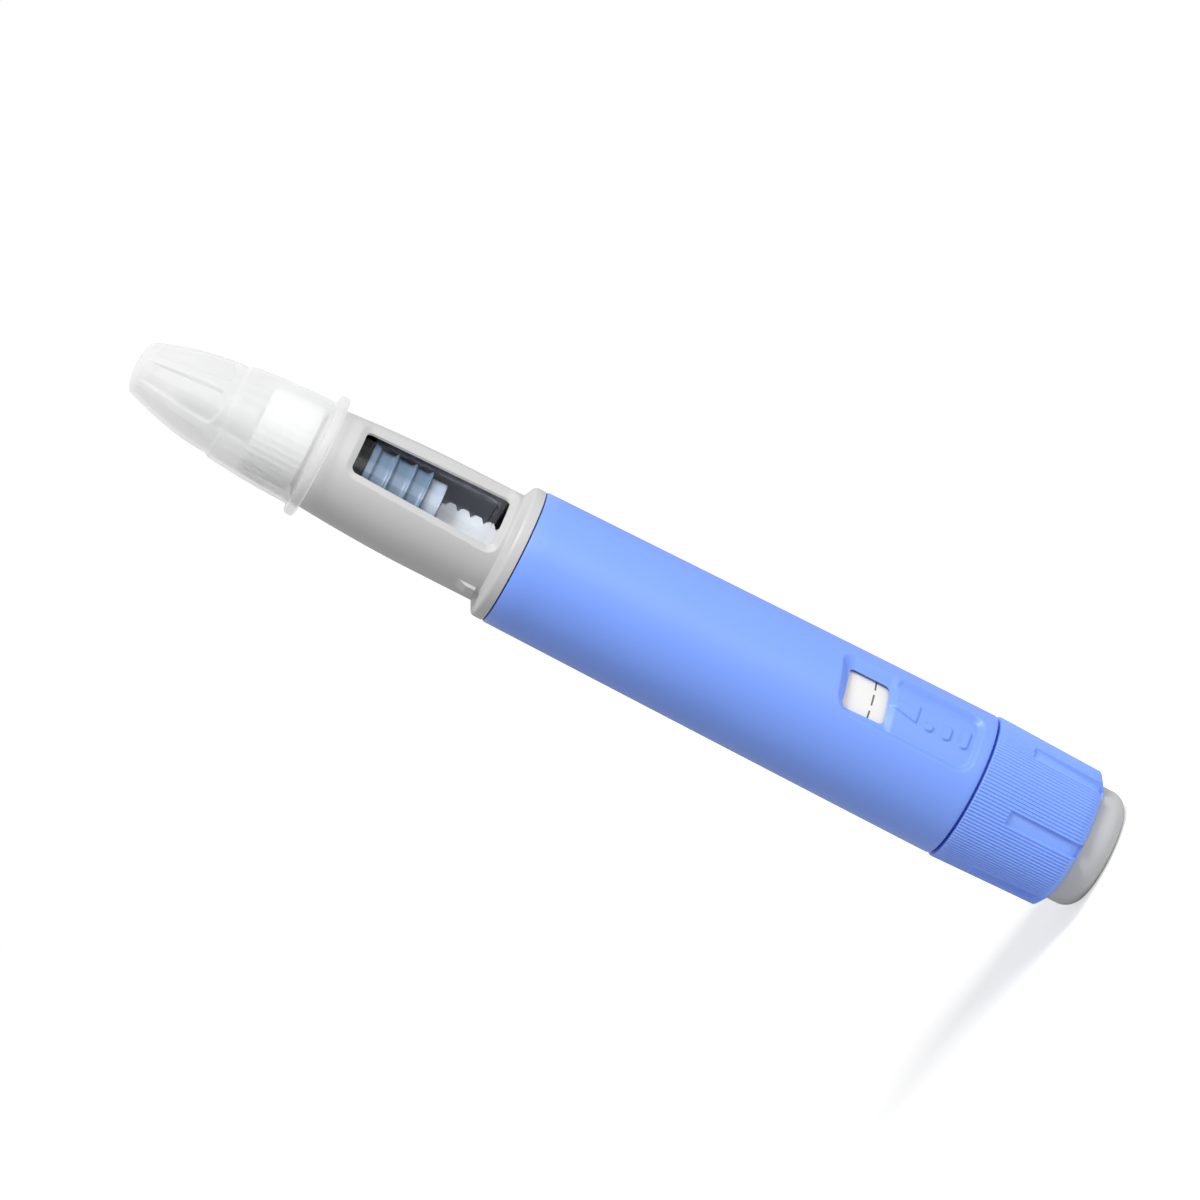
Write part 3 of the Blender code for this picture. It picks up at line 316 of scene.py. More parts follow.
# Drawn borosilicate tube: clear and smooth, seen only by its reflections. Its real index is 1.47;
# a filled cartridge hides its inner faces, so 1.25 gives the faint veil of the photograph.
CARTRIDGE_GLASS = Finish("borosilicate_glass_drawn", "eef2f5", "ecf1f4", 0.04, 1.25, 3.0, 0.0002,
                         8.0, transmission=1.0, passes=1.0)
# Lacquered aluminium, crimped over the neck: a bright, slightly blurred mirror.
CRIMP_METAL = Finish("aluminium_lacquered", "d6d7da", "cfd0d4", 0.32, 1.5, 0.3, 0.001, 2.0,
                     metallic=1.0)
# Drawn spring wire: a darker steel with narrow lights along each coil.
SPRING_METAL = Finish("spring_steel_drawn", "a5a5a8", "9d9da1", 0.3, 1.5, 0.2, 0.001, 2.0,
                      metallic=1.0)
# Ground and polished stainless tube: one sharp bright line down its length.
NEEDLE_METAL = Finish("stainless_steel_ground", "c4c5c8", "bcbdc1", 0.25, 1.5, 0.1, 0.0005, 2.0,
                      metallic=1.0)
# Polypropylene needle parts: milky and see-through in thin walls, white where walls lie behind it.
HUB_PLASTIC = Finish("polypropylene_white_moulded", "eeefef", "eaebeb", 0.4, 1.49, 0.3, 0.001, 3.0,
                     translucent=0.15)
INNER_CAP_PLASTIC = Finish("polypropylene_inner_cap", "eceded", "e8e9e9", 0.35, 1.49, 0.3, 0.001,
                           3.0, alpha=0.75, translucent=0.4, passes=0.5)
CAP_PLASTIC = Finish("polypropylene_natural_moulded", "f0f0f0", "ececec", 0.34, 1.49, 1.2, 0.001,
                     5.0, alpha=0.42, translucent=0.55, passes=0.6)


# ---------------------------------------------------------------------------------------------
# Sections, stations and skins
# ---------------------------------------------------------------------------------------------


def stations(start: float, *stretches: tuple[float, float]) -> np.ndarray:
    """Divides a line into steps whose size changes from stretch to stretch.

    Args:
        start: First value.
        *stretches: The end of each stretch and the largest step in it.

    Returns:
        The values from the start to the end of the last stretch.
    """
    values = [start]
    for end, step in stretches:
        count = max(1, math.ceil(abs(end - values[-1]) / step - 1e-6))
        values.extend(np.linspace(values[-1], end, count + 1)[1:])
    return np.array(values)


def softened(corners: Sequence[tuple[float, float, float]], steps: int = 6) -> Profile:
    """Rounds the corners of an open section.

    Args:
        corners: Radius, height and fillet of each corner.
        steps: Points on each fillet, less one.

    Returns:
        The section's points.
    """
    section: Profile = []
    for index, (radius, height, fillet) in enumerate(corners):
        here = Vector((radius, height))
        if fillet <= 0 or index in (0, len(corners) - 1):
            section.append((radius, height))
            continue
        before = Vector(corners[index - 1][:2]) - here
        after = Vector(corners[index + 1][:2]) - here
        start = here + before.normalized() * min(fillet, before.length / 2)
        end = here + after.normalized() * min(fillet, after.length / 2)
        for step in range(steps + 1):
            share = step / steps
            point = start * (1 - share) ** 2 + here * 2 * share * (1 - share) + end * share ** 2
            section.append((point.x, point.y))
    return section


def ramp(value: np.ndarray, start: float, end: float) -> np.ndarray:
    """Runs smoothly from 0 at the start to 1 at the end.

    Args:
        value: Places on the line.
        start: Where it leaves 0.
        end: Where it reaches 1.

    Returns:
        The share at each place.
    """
    share = np.clip((value - start) / (end - start), 0.0, 1.0)
    return share * share * (3 - 2 * share)


def wrapped(azimuth: np.ndarray, centre: float, spacing: float = TURN) -> np.ndarray:
    """Azimuth counted from the nearest of the marks that stand a spacing apart."""
    return (azimuth - centre + spacing / 2) % spacing - spacing / 2


def around(columns: int) -> np.ndarray:
    """Azimuths of a number of columns that stand evenly, once round."""
    return np.arange(columns) * TURN / columns


def beyond_edge(side: np.ndarray, end: np.ndarray, corner: np.ndarray | float) -> np.ndarray:
    """Measures how far points lie beyond an outline with rounded corners.

    Args:
        side: Distances beyond its nearer side.
        end: Distances beyond its nearer end.
        corner: Radius of its corners.

    Returns:
        The distances, negative inside the outline.
    """
    side, end = side + corner, end + corner
    return (np.hypot(np.maximum(side, 0), np.maximum(end, 0))
            + np.minimum(np.maximum(side, end), 0) - corner)


@dataclass
class Skin:
    """Grows a mesh from rings of points, in millimetres.

    Attributes:
        points: Blocks of points in the order of their numbers.
        faces: Corners of each face.
        kinds: Number of each face's finish.
        kind: Number of the finish that new faces get.
        count: How many points there are.
    """

    points: list[np.ndarray] = field(default_factory=list)
    faces: list[tuple[int, ...]] = field(default_factory=list)
    kinds: list[int] = field(default_factory=list)
    kind: int = 0
    count: int = 0

    def ring(self, azimuth: np.ndarray, radius: np.ndarray | float,
             height: np.ndarray | float) -> np.ndarray:
        """Adds a ring of points.

        Args:
            azimuth: Azimuths of the points, in degrees.
            radius: One radius, or one for each point.
            height: One height, or one for each point.

        Returns:
            The points' numbers.
        """
        turn = np.radians(azimuth)
        radius = np.broadcast_to(radius, turn.shape)
        height = np.broadcast_to(height, turn.shape)
        return self.add(np.stack([radius * np.sin(turn), -radius * np.cos(turn), height], axis=1))

    def rings(self, azimuth: np.ndarray,
              section: Sequence[tuple[np.ndarray | float, float]]) -> list[np.ndarray]:
        """Adds a ring for each radius and height of a section."""
        return [self.ring(azimuth, *point) for point in section]

    def add(self, points: np.ndarray) -> np.ndarray:
        """Adds points.

        Args:
            points: One row of X, Y and Z for each point.

        Returns:
            The points' numbers.
        """
        first = self.count
        self.points.append(points)
        self.count += len(points)
        return np.arange(first, self.count)

    def fill(self, corners: Sequence[int]) -> None:
        """Adds one face of the finish that is set."""
        self.faces.append(tuple(dict.fromkeys(int(corner) for corner in corners)))
        self.kinds.append(self.kind)

    def bridge(self, lower: np.ndarray, upper: np.ndarray, keep: np.ndarray | None = None) -> None:
        """Fills the band between two closed rings.

        Args:
            lower: Numbers of the first ring's points.
            upper: Numbers of the second ring's points, which may be fewer or more.
            keep: Which of the band's faces to make, where both rings have as many points.
        """
        if len(lower) == len(upper):
            band = np.stack([lower, np.roll(lower, -1), np.roll(upper, -1), upper], axis=1)
            for corners in band if keep is None else band[keep]:
                self.fill(corners)
            return
        low, high = 0, 0
        while low < len(lower) or high < len(upper):
            step_low = (low + 1) * len(upper) <= (high + 1) * len(lower)
            step_high = (high + 1) * len(lower) <= (low + 1) * len(upper)
            self.fill([lower[low % len(lower)], lower[(low + step_low) % len(lower)],
                       upper[(high + step_high) % len(upper)], upper[high % len(upper)]])
            low += step_low
            high += step_high

    def join(self, rings: Sequence[np.ndarray], closed: bool = True) -> None:
        """Bridges rings in order.

        Args:
            rings: Numbers of each ring's points.
            closed: Whether to bridge the last ring to the first too.
        """
        for lower, upper in zip(rings, rings[1:]):
            self.bridge(lower, upper)
        if closed:
            self.bridge(rings[-1], rings[0])

    def rod(self, rings: Sequence[np.ndarray]) -> None:
        """Bridges rings in order and closes the first and the last with a face each.

        Args:
            rings: Numbers of each ring's points.
        """
        self.join(rings, closed=False)
        self.fill(rings[0])
        self.fill(rings[-1])

    def mesh(self, name: str, crease: float) -> bpy.types.Mesh:
        """Turns the skin into a mesh whose faces point outwards.

        Args:
            name: Name of the mesh.
            crease: Angle in degrees above which an edge stays sharp.

        Returns:
            The mesh, in metres.
        """
        points = np.concatenate(self.points) * MM
        used = np.zeros(len(points), bool)
        for face in self.faces:
            used[list(face)] = True
        number = np.cumsum(used) - 1
        faces = [tuple(int(number[corner]) for corner in face) for face in self.faces]
        data = bpy.data.meshes.new(name)
        data.from_pydata(points[used].tolist(), [], faces)
        data.polygons.foreach_set("material_index", self.kinds)
        form = bmesh.new()
        form.from_mesh(data)
        bmesh.ops.recalc_face_normals(form, faces=form.faces)
        form.to_mesh(data)
        form.free()
        data.shade_smooth()
        data.set_sharp_from_angle(angle=math.radians(crease))
        return data


def lathe(section: Profile, columns: int = 128) -> Skin:
    """Turns a closed section about the axis.

    Args:
        section: Radius and height of each point; a radius of 0 lies on the axis.
        columns: Points on each ring.

    Returns:
        The closed skin.
    """
    skin = Skin()
    azimuth = around(columns)
    rings = [skin.ring(azimuth if radius > 0 else azimuth[:1], radius, height)
             for radius, height in section]
    for lower, upper in zip(rings, rings[1:] + rings[:1]):
        if len(lower) > 1 or len(upper) > 1:
            skin.bridge(lower, upper)
    return skin


@dataclass
class PiercedShell:
    """A thick shell of revolution with relief on its outside and one opening through its wall.

    Attributes:
        azimuth: Azimuths of the columns, once round.
        outer: Section of the outside, from the rear to the front.
        bore: Radius of the inside for each point of the outer section.
        closing: Section that leads from the inside's rear end back to the outside's.
        relief: Changes the outer radius, from the azimuth, radius and height of each point.
        opening: Distance in mm from the opening's edge, negative inside it, from the azimuth and
            height of each point.
        mean_radius: Radius at which the opening's distances hold.
        bore_kinds: Number of the inside's finish for each point of the outer section.
    """

    azimuth: np.ndarray
    outer: Profile
    bore: Sequence[float]
    closing: Profile
    relief: Callable[[np.ndarray, np.ndarray, np.ndarray], np.ndarray]
    opening: Callable[[np.ndarray, np.ndarray], np.ndarray]
    mean_radius: float
    bore_kinds: Sequence[int] = ()

    def _fit_edge(self, azimuth: np.ndarray, height: np.ndarray) -> np.ndarray:
        """Finds the faces inside the opening and moves their rim's points onto its edge.

        Args:
            azimuth: Azimuth of each point of the grid, changed in place.
            height: Height of each point of the grid, changed in place.

        Returns:
            True for each face of the grid that the opening takes away.
        """
        distance = self.opening(azimuth, height)
        beside = np.roll(distance, -1, axis=1)
        gone = (distance[:-1] + distance[1:] + beside[:-1] + beside[1:]) < 0
        near = np.zeros(distance.shape, int)
        for rows in (slice(0, -1), slice(1, None)):
            near[rows] += gone
            near[rows] += np.roll(gone, 1, axis=1)
        rim = (near > 0) & (near < 4)
        probe = 0.01
        degree = math.degrees(1 / self.mean_radius)
        for _ in range(4):
            distance = self.opening(azimuth, height)
            across = (self.opening(azimuth + probe * degree, height) - distance) / probe
            along = (self.opening(azimuth, height + probe) - distance) / probe
            share = distance / np.maximum(across ** 2 + along ** 2, 0.1) * rim
            azimuth -= share * across * degree
            height -= share * along
        return gone

    def skin(self) -> Skin:
        """Builds the shell.

        Returns:
            The closed skin.
        """
        rows, columns = len(self.outer), len(self.azimuth)
        azimuth = np.tile(self.azimuth, (rows, 1))
        radius = np.tile(np.array([[point[0]] for point in self.outer]), (1, columns))
        height = np.tile(np.array([[point[1]] for point in self.outer]), (1, columns))
        gone = self._fit_edge(azimuth, height)
        radius = self.relief(azimuth, radius, height)
        inner = np.tile(np.array(self.bore)[:, None], (1, columns))
        skin = Skin()
        outside = [skin.ring(azimuth[row], radius[row], height[row]) for row in range(rows)]
        inside = [skin.ring(azimuth[row], inner[row], height[row]) for row in range(rows)]
        for row in range(rows - 1):
            skin.kind = 0
            skin.bridge(outside[row], outside[row + 1], ~gone[row])
            skin.kind = self.bore_kinds[row] if self.bore_kinds else 0
            skin.bridge(inside[row], inside[row + 1], ~gone[row])
        skin.kind = 0
        skin.bridge(outside[-1], inside[-1])
        closing = skin.rings(self.azimuth, self.closing)
        skin.join([inside[0], *closing, outside[0]], closed=False)
        self._line_opening(skin, gone, outside, inside)
        return skin

    @staticmethod
    def _line_opening(skin: Skin, gone: np.ndarray, outside: Sequence[np.ndarray],
                      inside: Sequence[np.ndarray]) -> None:
        """Closes the wall round the opening between the outside and the inside.

        Args:
            skin: Skin that the wall goes into.
            gone: True for each face of the grid that the opening takes away.
            outside: Numbers of the points of each outer ring.
            inside: Numbers of the points of each inner ring.
        """
        rows, columns = gone.shape
        for row, column in zip(*np.nonzero(gone)):
            after = (column + 1) % columns
            for other_row, other_column, start, end in (
                    (row, (column - 1) % columns, (row, column), (row + 1, column)),
                    (row, after, (row, after), (row + 1, after)),
                    (row - 1, column, (row, column), (row, after)),
                    (row + 1, column, (row + 1, column), (row + 1, after))):
                if 0 <= other_row < rows and gone[other_row, other_column]:
                    continue
                skin.fill([outside[start[0]][start[1]], outside[end[0]][end[1]],
                           inside[end[0]][end[1]], inside[start[0]][start[1]]])


@dataclass
class SubAssembly:
    """Base of the pen's sub-assemblies: places their pieces on the frame.

    Attributes:
        nodes: The frame's CAD nodes by name.
    """

    nodes: dict[str, bpy.types.Object]

    def place(self, name: str, skin: Skin, finish: Finish, body: Body, slot: Slot, *replaced: str,
              others: Sequence[Finish] = (), crease: float = 32.0) -> bpy.types.Object:
        """Puts a skin into the scene as a piece that rides on a body.

        Args:
            name: Name of the piece.
            skin: Its skin, in millimetres and in the frame.
            finish: Finish of its faces of kind 0.
            body: Body that it rides on.
            slot: Material slot of the record that it stands for; not used.
            *replaced: CAD nodes that the piece takes the place of.
            others: Finishes of the faces of kind 1 and up.
            crease: Angle in degrees above which its edges stay sharp.

        Returns:
            The new object.
        """
        data = skin.mesh(name, crease)
        for entry in (finish, *others):
            data.materials.append(entry.material())
        piece = linked(name, data)
        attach(piece, body.value)
        if replaced:
            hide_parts(*replaced)
        LOG.info("%s: %d faces on %s", name, len(data.polygons), body.value)
        return piece

    def dress(self, name: str, finish: Finish) -> None:
        """Gives a carried-over CAD node its finish.

        Args:
            name: Name of the CAD node.
            finish: Finish of its whole surface.
        """
        for entry in self.nodes[name].material_slots:
            entry.material = finish.material()
        LOG.info("%s: CAD node in %s", name, finish.name)


# ---------------------------------------------------------------------------------------------
# The pen's sub-assemblies
# ---------------------------------------------------------------------------------------------


@dataclass
class Housing(SubAssembly):
    """Tapered blue shell with the recessed dose window, its pointer and three rising bars."""

    rear: float = 19.65
    front: float = 82.4
    rear_radius: float = 9.52
    front_radius: float = 8.9
    taper_power: float = 1.2
    edge: float = 0.28
    rear_bore: float = 8.15
    front_bore: float = 7.6
    bore_step: float = 60.4
    neck_rear: float = 16.05
    neck_radius: float = 8.11
    neck_bore: float = 7.25
    neck_chamfer: float = 0.2
    recess_rear: float = 21.1
    recess_front: float = 40.6
    recess_slant: float = 0.2
    recess_half: float = 4.42
    recess_lift: float = 0.29
    recess_corner: float = 1.9
    recess_front_corner: float = 2.2
    recess_floor: float = 8.7
    recess_side_run: float = 0.5
    recess_top_run: float = 1.4
    recess_end_run: float = 0.75
    recess_front_run: float = 1.25
    wall_straight: float = 0.65
    relief_half: float = 40.0
    arc_radius: float = 9.3
    window_rim: float = 8.25
    window_top: float = 3.25
    window_bottom: float = -3.05
    window_lean: float = 0.035
    window_rear: float = 33.62
    window_rear_slant: float = 0.14
    window_front: float = 39.32
    window_front_slant: float = 0.09
    window_corner: float = 0.75
    window_bottom_run: float = 1.0
    ramp_run: float = 0.95
    pointer_rear: float = 29.7
    pointer_front: float = 32.4
    pointer_tip: float = 33.5
    pointer_rear_edges: tuple[float, float] = (-0.79, 1.87)
    pointer_front_edges: tuple[float, float] = (-0.21, 1.24)
    pointer_tip_across: float = 0.14
    pointer_raise: float = 0.24
    pointer_sink: float = 0.75
    pointer_soft: float = 0.07
    bar_width: float = 1.15
    bar_raise: float = 0.28
    bar_soft: tuple[float, float] = (0.1, 0.05)
    bar_base: float = -1.1
    bars: tuple[tuple[float, float], ...] = ((27.95, 1.3), (25.55, 2.2), (23.15, 3.1))

    def shell_radius(self, height: np.ndarray) -> np.ndarray:
        """Works out the outer radius of the plain shell.

        Args:
            height: Height of each point.

        Returns:
            The radius at each point.
        """
        share = np.clip((height - self.rear) / (self.front - self.rear), 0, 1)
        drop = self.rear_radius - self.front_radius
        return self.rear_radius - drop * share ** self.taper_power

    def window_edges(self, across: np.ndarray, height: np.ndarray) -> tuple[np.ndarray, ...]:
        """Measures how far points lie beyond the dose window's edges.

        Args:
            across: Distance of each point round the shell from -Y, towards +X.
            height: Height of each point.

        Returns:
            The distances beyond its top, bottom, rear and front edges.
        """
        lean = self.window_lean * (height - self.window_rear)
        top = across - self.window_top
        bottom = self.window_bottom - lean - across
        rear = self.window_rear + self.window_rear_slant * across - height
        front = height - self.window_front - self.window_front_slant * across
        return top, bottom, rear, front

    def opening(self, azimuth: np.ndarray, height: np.ndarray) -> np.ndarray:
        """Measures points against the dose window's edge.

        Args:
            azimuth: Azimuth of each point, in degrees.
            height: Height of each point.

        Returns:
            The distance beyond the edge, negative inside the window.
        """
        across = np.radians(wrapped(azimuth, 0.0)) * self.arc_radius
        top, bottom, rear, front = self.window_edges(across, height)
        return beyond_edge(np.maximum(top, bottom), np.maximum(rear, front), self.window_corner)

    def recess_share(self, across: np.ndarray, height: np.ndarray) -> np.ndarray:
        """Works out how far up the recess's wall points are.

        Args:
            across: Distance of each point round the shell from -Y, towards +X.
            height: Height of each point.

        Returns:
            The share of each point: 0 on the floor, 1 on the shell.
        """
        front = height - self.recess_front - self.recess_slant * across
        corner = np.where(height > self.window_rear, self.recess_front_corner, self.recess_corner)
        side = np.abs(across - self.recess_lift) - self.recess_half
        end = np.maximum(front, self.recess_rear - height)
        past_side, past_end = np.maximum(side + corner, 0) ** 2, np.maximum(end + corner, 0) ** 2
        lengthwise = past_end / np.maximum(past_side + past_end, 1e-6)
        beside = ramp(height, self.window_rear - self.ramp_run, self.window_rear) * (across > 0)
        side_run = self.recess_side_run + (self.recess_top_run - self.recess_side_run) * beside
        end_run = np.where(height > self.window_rear, self.recess_front_run, self.recess_end_run)
        run = side_run + (end_run - side_run) * lengthwise
        share = np.clip(1 + beyond_edge(side, end, corner) / run, 0, 1)
        return self.wall_straight * share + (1 - self.wall_straight) * ramp(share, 0.0, 1.0)

    def raised(self, across: np.ndarray, height: np.ndarray) -> np.ndarray:
        """Shapes the pointer and the bars.

        Args:
            across: Distance of each point round the shell from -Y, towards +X.
            height: Height of each point.

        Returns:
            How far each point is raised above the recess's floor.
        """
        share = (height - self.pointer_rear) / (self.pointer_front - self.pointer_rear)
        beyond = np.clip((height - self.pointer_front) / (self.pointer_tip - self.pointer_front),
                         0, 1)
        tip = self.pointer_tip_across
        lower, upper = (
            np.where(height > self.pointer_front, front + (tip - front) * beyond,
                     rear + (front - rear) * share)
            for rear, front in zip(self.pointer_rear_edges, self.pointer_front_edges))
        inside = np.minimum(np.minimum(upper - across, across - lower), height - self.pointer_rear)
        raised = (self.pointer_raise * ramp(inside, -self.pointer_soft, self.pointer_soft)
                  * (1 - self.pointer_sink * beyond))
        raised = np.where(height < self.pointer_tip, raised, 0.0)
        half = self.bar_width / 2
        soft_in, soft_out = self.bar_soft
        for middle, length in self.bars:
            spine = np.clip(across, self.bar_base + half, self.bar_base + length - half)
            gap = np.hypot(across - spine, height - middle)
            bar = self.bar_raise * (1 - ramp(gap, half - soft_in, half + soft_out))
            raised = np.maximum(raised, bar)
        return raised

    def relief(self, azimuth: np.ndarray, radius: np.ndarray, height: np.ndarray) -> np.ndarray:
        """Sinks the recess and the window's slopes into the shell.

        Args:
            azimuth: Azimuth of each point, in degrees.
            radius: Radius of each point on the plain shell.
            height: Height of each point.

        Returns:
            The new radius of each point.
        """
        turn = wrapped(azimuth, 0.0)
        across = np.radians(turn) * self.arc_radius
        _, bottom, rear, _ = self.window_edges(across, height)
        drop = self.recess_floor - self.window_rim
        slope = np.maximum(np.clip(bottom / self.window_bottom_run, 0, 1),
                           np.clip(rear / self.ramp_run, 0, 1))
        floor = self.window_rim + drop * slope + self.raised(across, height)
        sunk = floor + (radius - floor) * self.recess_share(across, height)
        return np.where(np.abs(turn) < self.relief_half, np.minimum(sunk, radius), radius)

    def build(self) -> None:
        """Builds the housing's shell and dresses what lies inside it."""
        azimuth = stations(-28.0, (31.0, 0.7), (332.0, 3.0))[:-1]
        heights = stations(self.rear + self.edge, (20.8, 0.5), (33.0, 0.15), (41.6, 0.115),
                           (self.front - self.edge, 2.5))
        outer = [(self.rear_radius - self.edge, self.rear),
                 (self.rear_radius - 0.3 * self.edge, self.rear + 0.25 * self.edge)]
        outer += [(float(self.shell_radius(height)), float(height)) for height in heights]
        outer += [(self.front_radius - 0.3 * self.edge, self.front - 0.25 * self.edge),
                  (self.front_radius - self.edge, self.front)]
        bore = [self.rear_bore if height < self.bore_step else self.front_bore
                for _, height in outer]
        closing = [(self.neck_bore, self.rear), (self.neck_bore, self.neck_rear),
                   (self.neck_radius - self.neck_chamfer, self.neck_rear),
                   (self.neck_radius, self.neck_rear + self.neck_chamfer),
                   (self.neck_radius, self.rear)]
        shell = PiercedShell(azimuth, outer, bore, closing, self.relief, self.opening,
                             self.arc_radius)
        self.place("housing_shell", shell.skin(), HOUSING_PLASTIC, Body.HOUSING, Slot.HOUSING,
                   "housing")
        self.dress("spring_base", GUIDE_PLASTIC_PAINTED_SHADE)
        self.dress("torsion_spring", SPRING_METAL)


@dataclass
class CartridgeHolder(SubAssembly):
    """Grey barrel with its collar, long window, snap bumps and threaded nose."""

    skirt_rear: float = 72.6
    skirt_radius: float = 7.3
    collar_rear: float = 82.55
    collar_front: float = 83.95
    collar_radius: float = 8.83
    slope_front: float = 84.75
    barrel_radius: float = 7.25
    taper_rear: float = 94.0
    barrel_front: float = 109.2
    barrel_front_radius: float = 6.53
    taper_power: float = 1.75
    shoulder_front: float = 110.8
    nose_radius: float = 4.70
    nose_front: float = 116.5
    nose_bore: float = 4.15
    nose_hole: float = 2.0
    bore: float = 6.1
    painted_shade_rear: float = 103.9
    cone_rear: float = 107.51
    cone_front: float = 108.87
    window_rear: float = 86.1
    window_front: float = 105.6
    window_rear_half: tuple[float, float] = (34.5, 36.2)
    window_front_half: tuple[float, float] = (26.4, 30.6)
    window_corner: float = 0.8
    window_edge: float = 0.3
    bevel_side: tuple[float, float] = (1.5, 0.72)
    bevel_end: float = 0.78
    arc_radius: float = 6.65
    snap_rear: float = 85.2
    snap_top: float = 86.4
    snap_front: float = 87.65
    snap_half: float = 7.0
    snap_soft: float = 0.5
    snap_height: float = 0.42
    thread_pitch: float = 0.9
    thread_height: float = 0.2
    thread_sharpness: float = 1.6
    thread_rear: float = 111.4
    thread_front: float = 115.9

    def window_distances(self, azimuth: np.ndarray,
                         height: np.ndarray) -> tuple[np.ndarray, np.ndarray]:
        """Measures points against the sides and ends of the cartridge window.

        Args:
            azimuth: Azimuth of each point, in degrees.
            height: Height of each point.

        Returns:
            The distances beyond its nearer side and its nearer end.
        """
        share = (height - self.window_rear) / (self.window_front - self.window_rear)
        turn = wrapped(azimuth, 0.0)
        halves = [rear + (front - rear) * share
                  for rear, front in zip(self.window_rear_half, self.window_front_half)]
        half = np.where(turn > 0, *halves)
        side = np.radians(np.abs(turn) - half) * self.arc_radius
        end = np.maximum(height - self.window_front, self.window_rear - height)
        return side, end

    def opening(self, azimuth: np.ndarray, height: np.ndarray) -> np.ndarray:
        """Distance from the cartridge window's inner edge, negative inside it."""
        return beyond_edge(*self.window_distances(azimuth, height), self.window_corner)

    def relief(self, azimuth: np.ndarray, radius: np.ndarray, height: np.ndarray) -> np.ndarray:
        """Cuts the window's bevel and raises the snap bumps and the nose's thread.

        Args:
            azimuth: Azimuth of each point, in degrees.
            radius: Radius of each point on the plain shell.
            height: Height of each point.

        Returns:
            The new radius of each point.
        """
        side, end = self.window_distances(azimuth, height)
        bevel = np.where(wrapped(azimuth, 0.0) > 0, *self.bevel_side)
        side = (side + self.window_corner) / (self.window_corner + bevel)
        end = (end + self.window_corner) / (self.window_corner + self.bevel_end)
        start = self.window_corner / (self.window_corner + self.bevel_end)
        outward = np.maximum(np.hypot(np.maximum(side, 0), np.maximum(end, 0)),
                             np.maximum(side, end))
        share = np.clip((outward - start) / (1 - start), 0, 1)
        rim = self.bore + self.window_edge
        inside_range = (height > self.window_rear - 2) & (height < self.window_front + 2)
        shaped = np.where(inside_range, np.minimum(radius, rim + (radius - rim) * share), radius)
        # The two snap bumps stand at either side of the window.
        turn = np.abs(wrapped(azimuth, 90.0, 180.0))
        climb = np.clip((self.snap_front - height) / (self.snap_front - self.snap_top), 0, 1)
        bump = self.snap_height * climb * (1 - ramp(turn, self.snap_half - self.snap_soft,
                                                    self.snap_half + self.snap_soft))
        on_bump = ((height > self.snap_rear) & (height < self.snap_front)
                   & (turn < self.snap_half + 1.2 * self.snap_soft))
        shaped = np.where(on_bump, np.maximum(shaped, self.barrel_radius + bump), shaped)
        phase = (height / self.thread_pitch - azimuth / TURN) * TURN
        ridge = np.clip(np.cos(np.radians(phase)) * self.thread_sharpness, 0, 1)
        threaded = (height > self.thread_rear) & (height < self.thread_front)
        return shaped + np.where(threaded, self.thread_height * ridge, 0.0)

    def barrel(self, height: float) -> float:
        """Works out the outer radius of the tapering barrel.

        Args:
            height: Height on the barrel.

        Returns:
            The radius there.
        """
        share = max(height - self.taper_rear, 0.0) / (self.barrel_front - self.taper_rear)
        drop = self.barrel_radius - self.barrel_front_radius
        return self.barrel_radius - drop * share ** self.taper_power

    def build(self) -> None:
        """Builds the holder and dresses the guide that its skirt surrounds."""
        azimuth = stations(-46.0, (50.0, 0.9), (82.0, 3.0), (98.0, 0.5), (262.0, 3.0),
                           (278.0, 0.5), (314.0, 3.0))[:-1]
        outer = softened([
            (self.skirt_radius, self.skirt_rear, 0), (self.skirt_radius, self.collar_rear, 0),
            (self.collar_radius, self.collar_rear, 0.1),
            (self.collar_radius, self.collar_front, 0.4),
            (self.barrel_radius, self.slope_front, 0.25),
            (self.barrel_radius, self.slope_front + 0.15, 0)])
        outer.pop()
        heights = stations(self.slope_front + 0.02, (87.6, 0.13), (104.4, 0.3), (106.8, 0.13),
                           (self.barrel_front, 0.6))
        outer += [(self.barrel(height), float(height)) for height in heights]
        drop = self.barrel_front_radius - self.nose_radius
        rise = self.shoulder_front - self.barrel_front
        for turn in np.radians(range(15, 91, 15)):
            outer.append((self.barrel_front_radius - drop * (1 - math.cos(turn)),
                          self.barrel_front + rise * math.sin(turn)))
        outer += [(self.nose_radius, float(height)) for height in
                  stations(self.shoulder_front + 0.1, (self.nose_front - 0.25, 0.09))]
        outer += [(self.nose_radius - 0.25, self.nose_front), (self.nose_hole, self.nose_front)]
        bore = []
        for radius, height in outer:
            slope = (height - self.cone_rear) / (self.cone_front - self.cone_rear)
            inner = self.bore + (self.nose_bore - self.bore) * min(max(slope, 0.0), 1.0)
            bore.append(min(inner, radius))
        # Faces of the bore take the paler copy (painted light), those of the throat the near-black
        # one (painted shade).
        kinds = [1 if height < self.painted_shade_rear else 2 for _, height in outer]
        shell = PiercedShell(azimuth, outer, bore, [], self.relief, self.opening, self.arc_radius,
                             kinds)
        self.place("holder_barrel", shell.skin(), HOLDER_PLASTIC, Body.HOUSING, Slot.GREY,
                   "cartridge_holder", others=(HOLDER_BORE_PAINTED_LIGHT, HOLDER_THROAT_PAINTED_SHADE))
        # The guide's dark polyamide is painted shade inside the holder.
        self.dress("piston_guide", GUIDE_PLASTIC_PAINTED_SHADE)


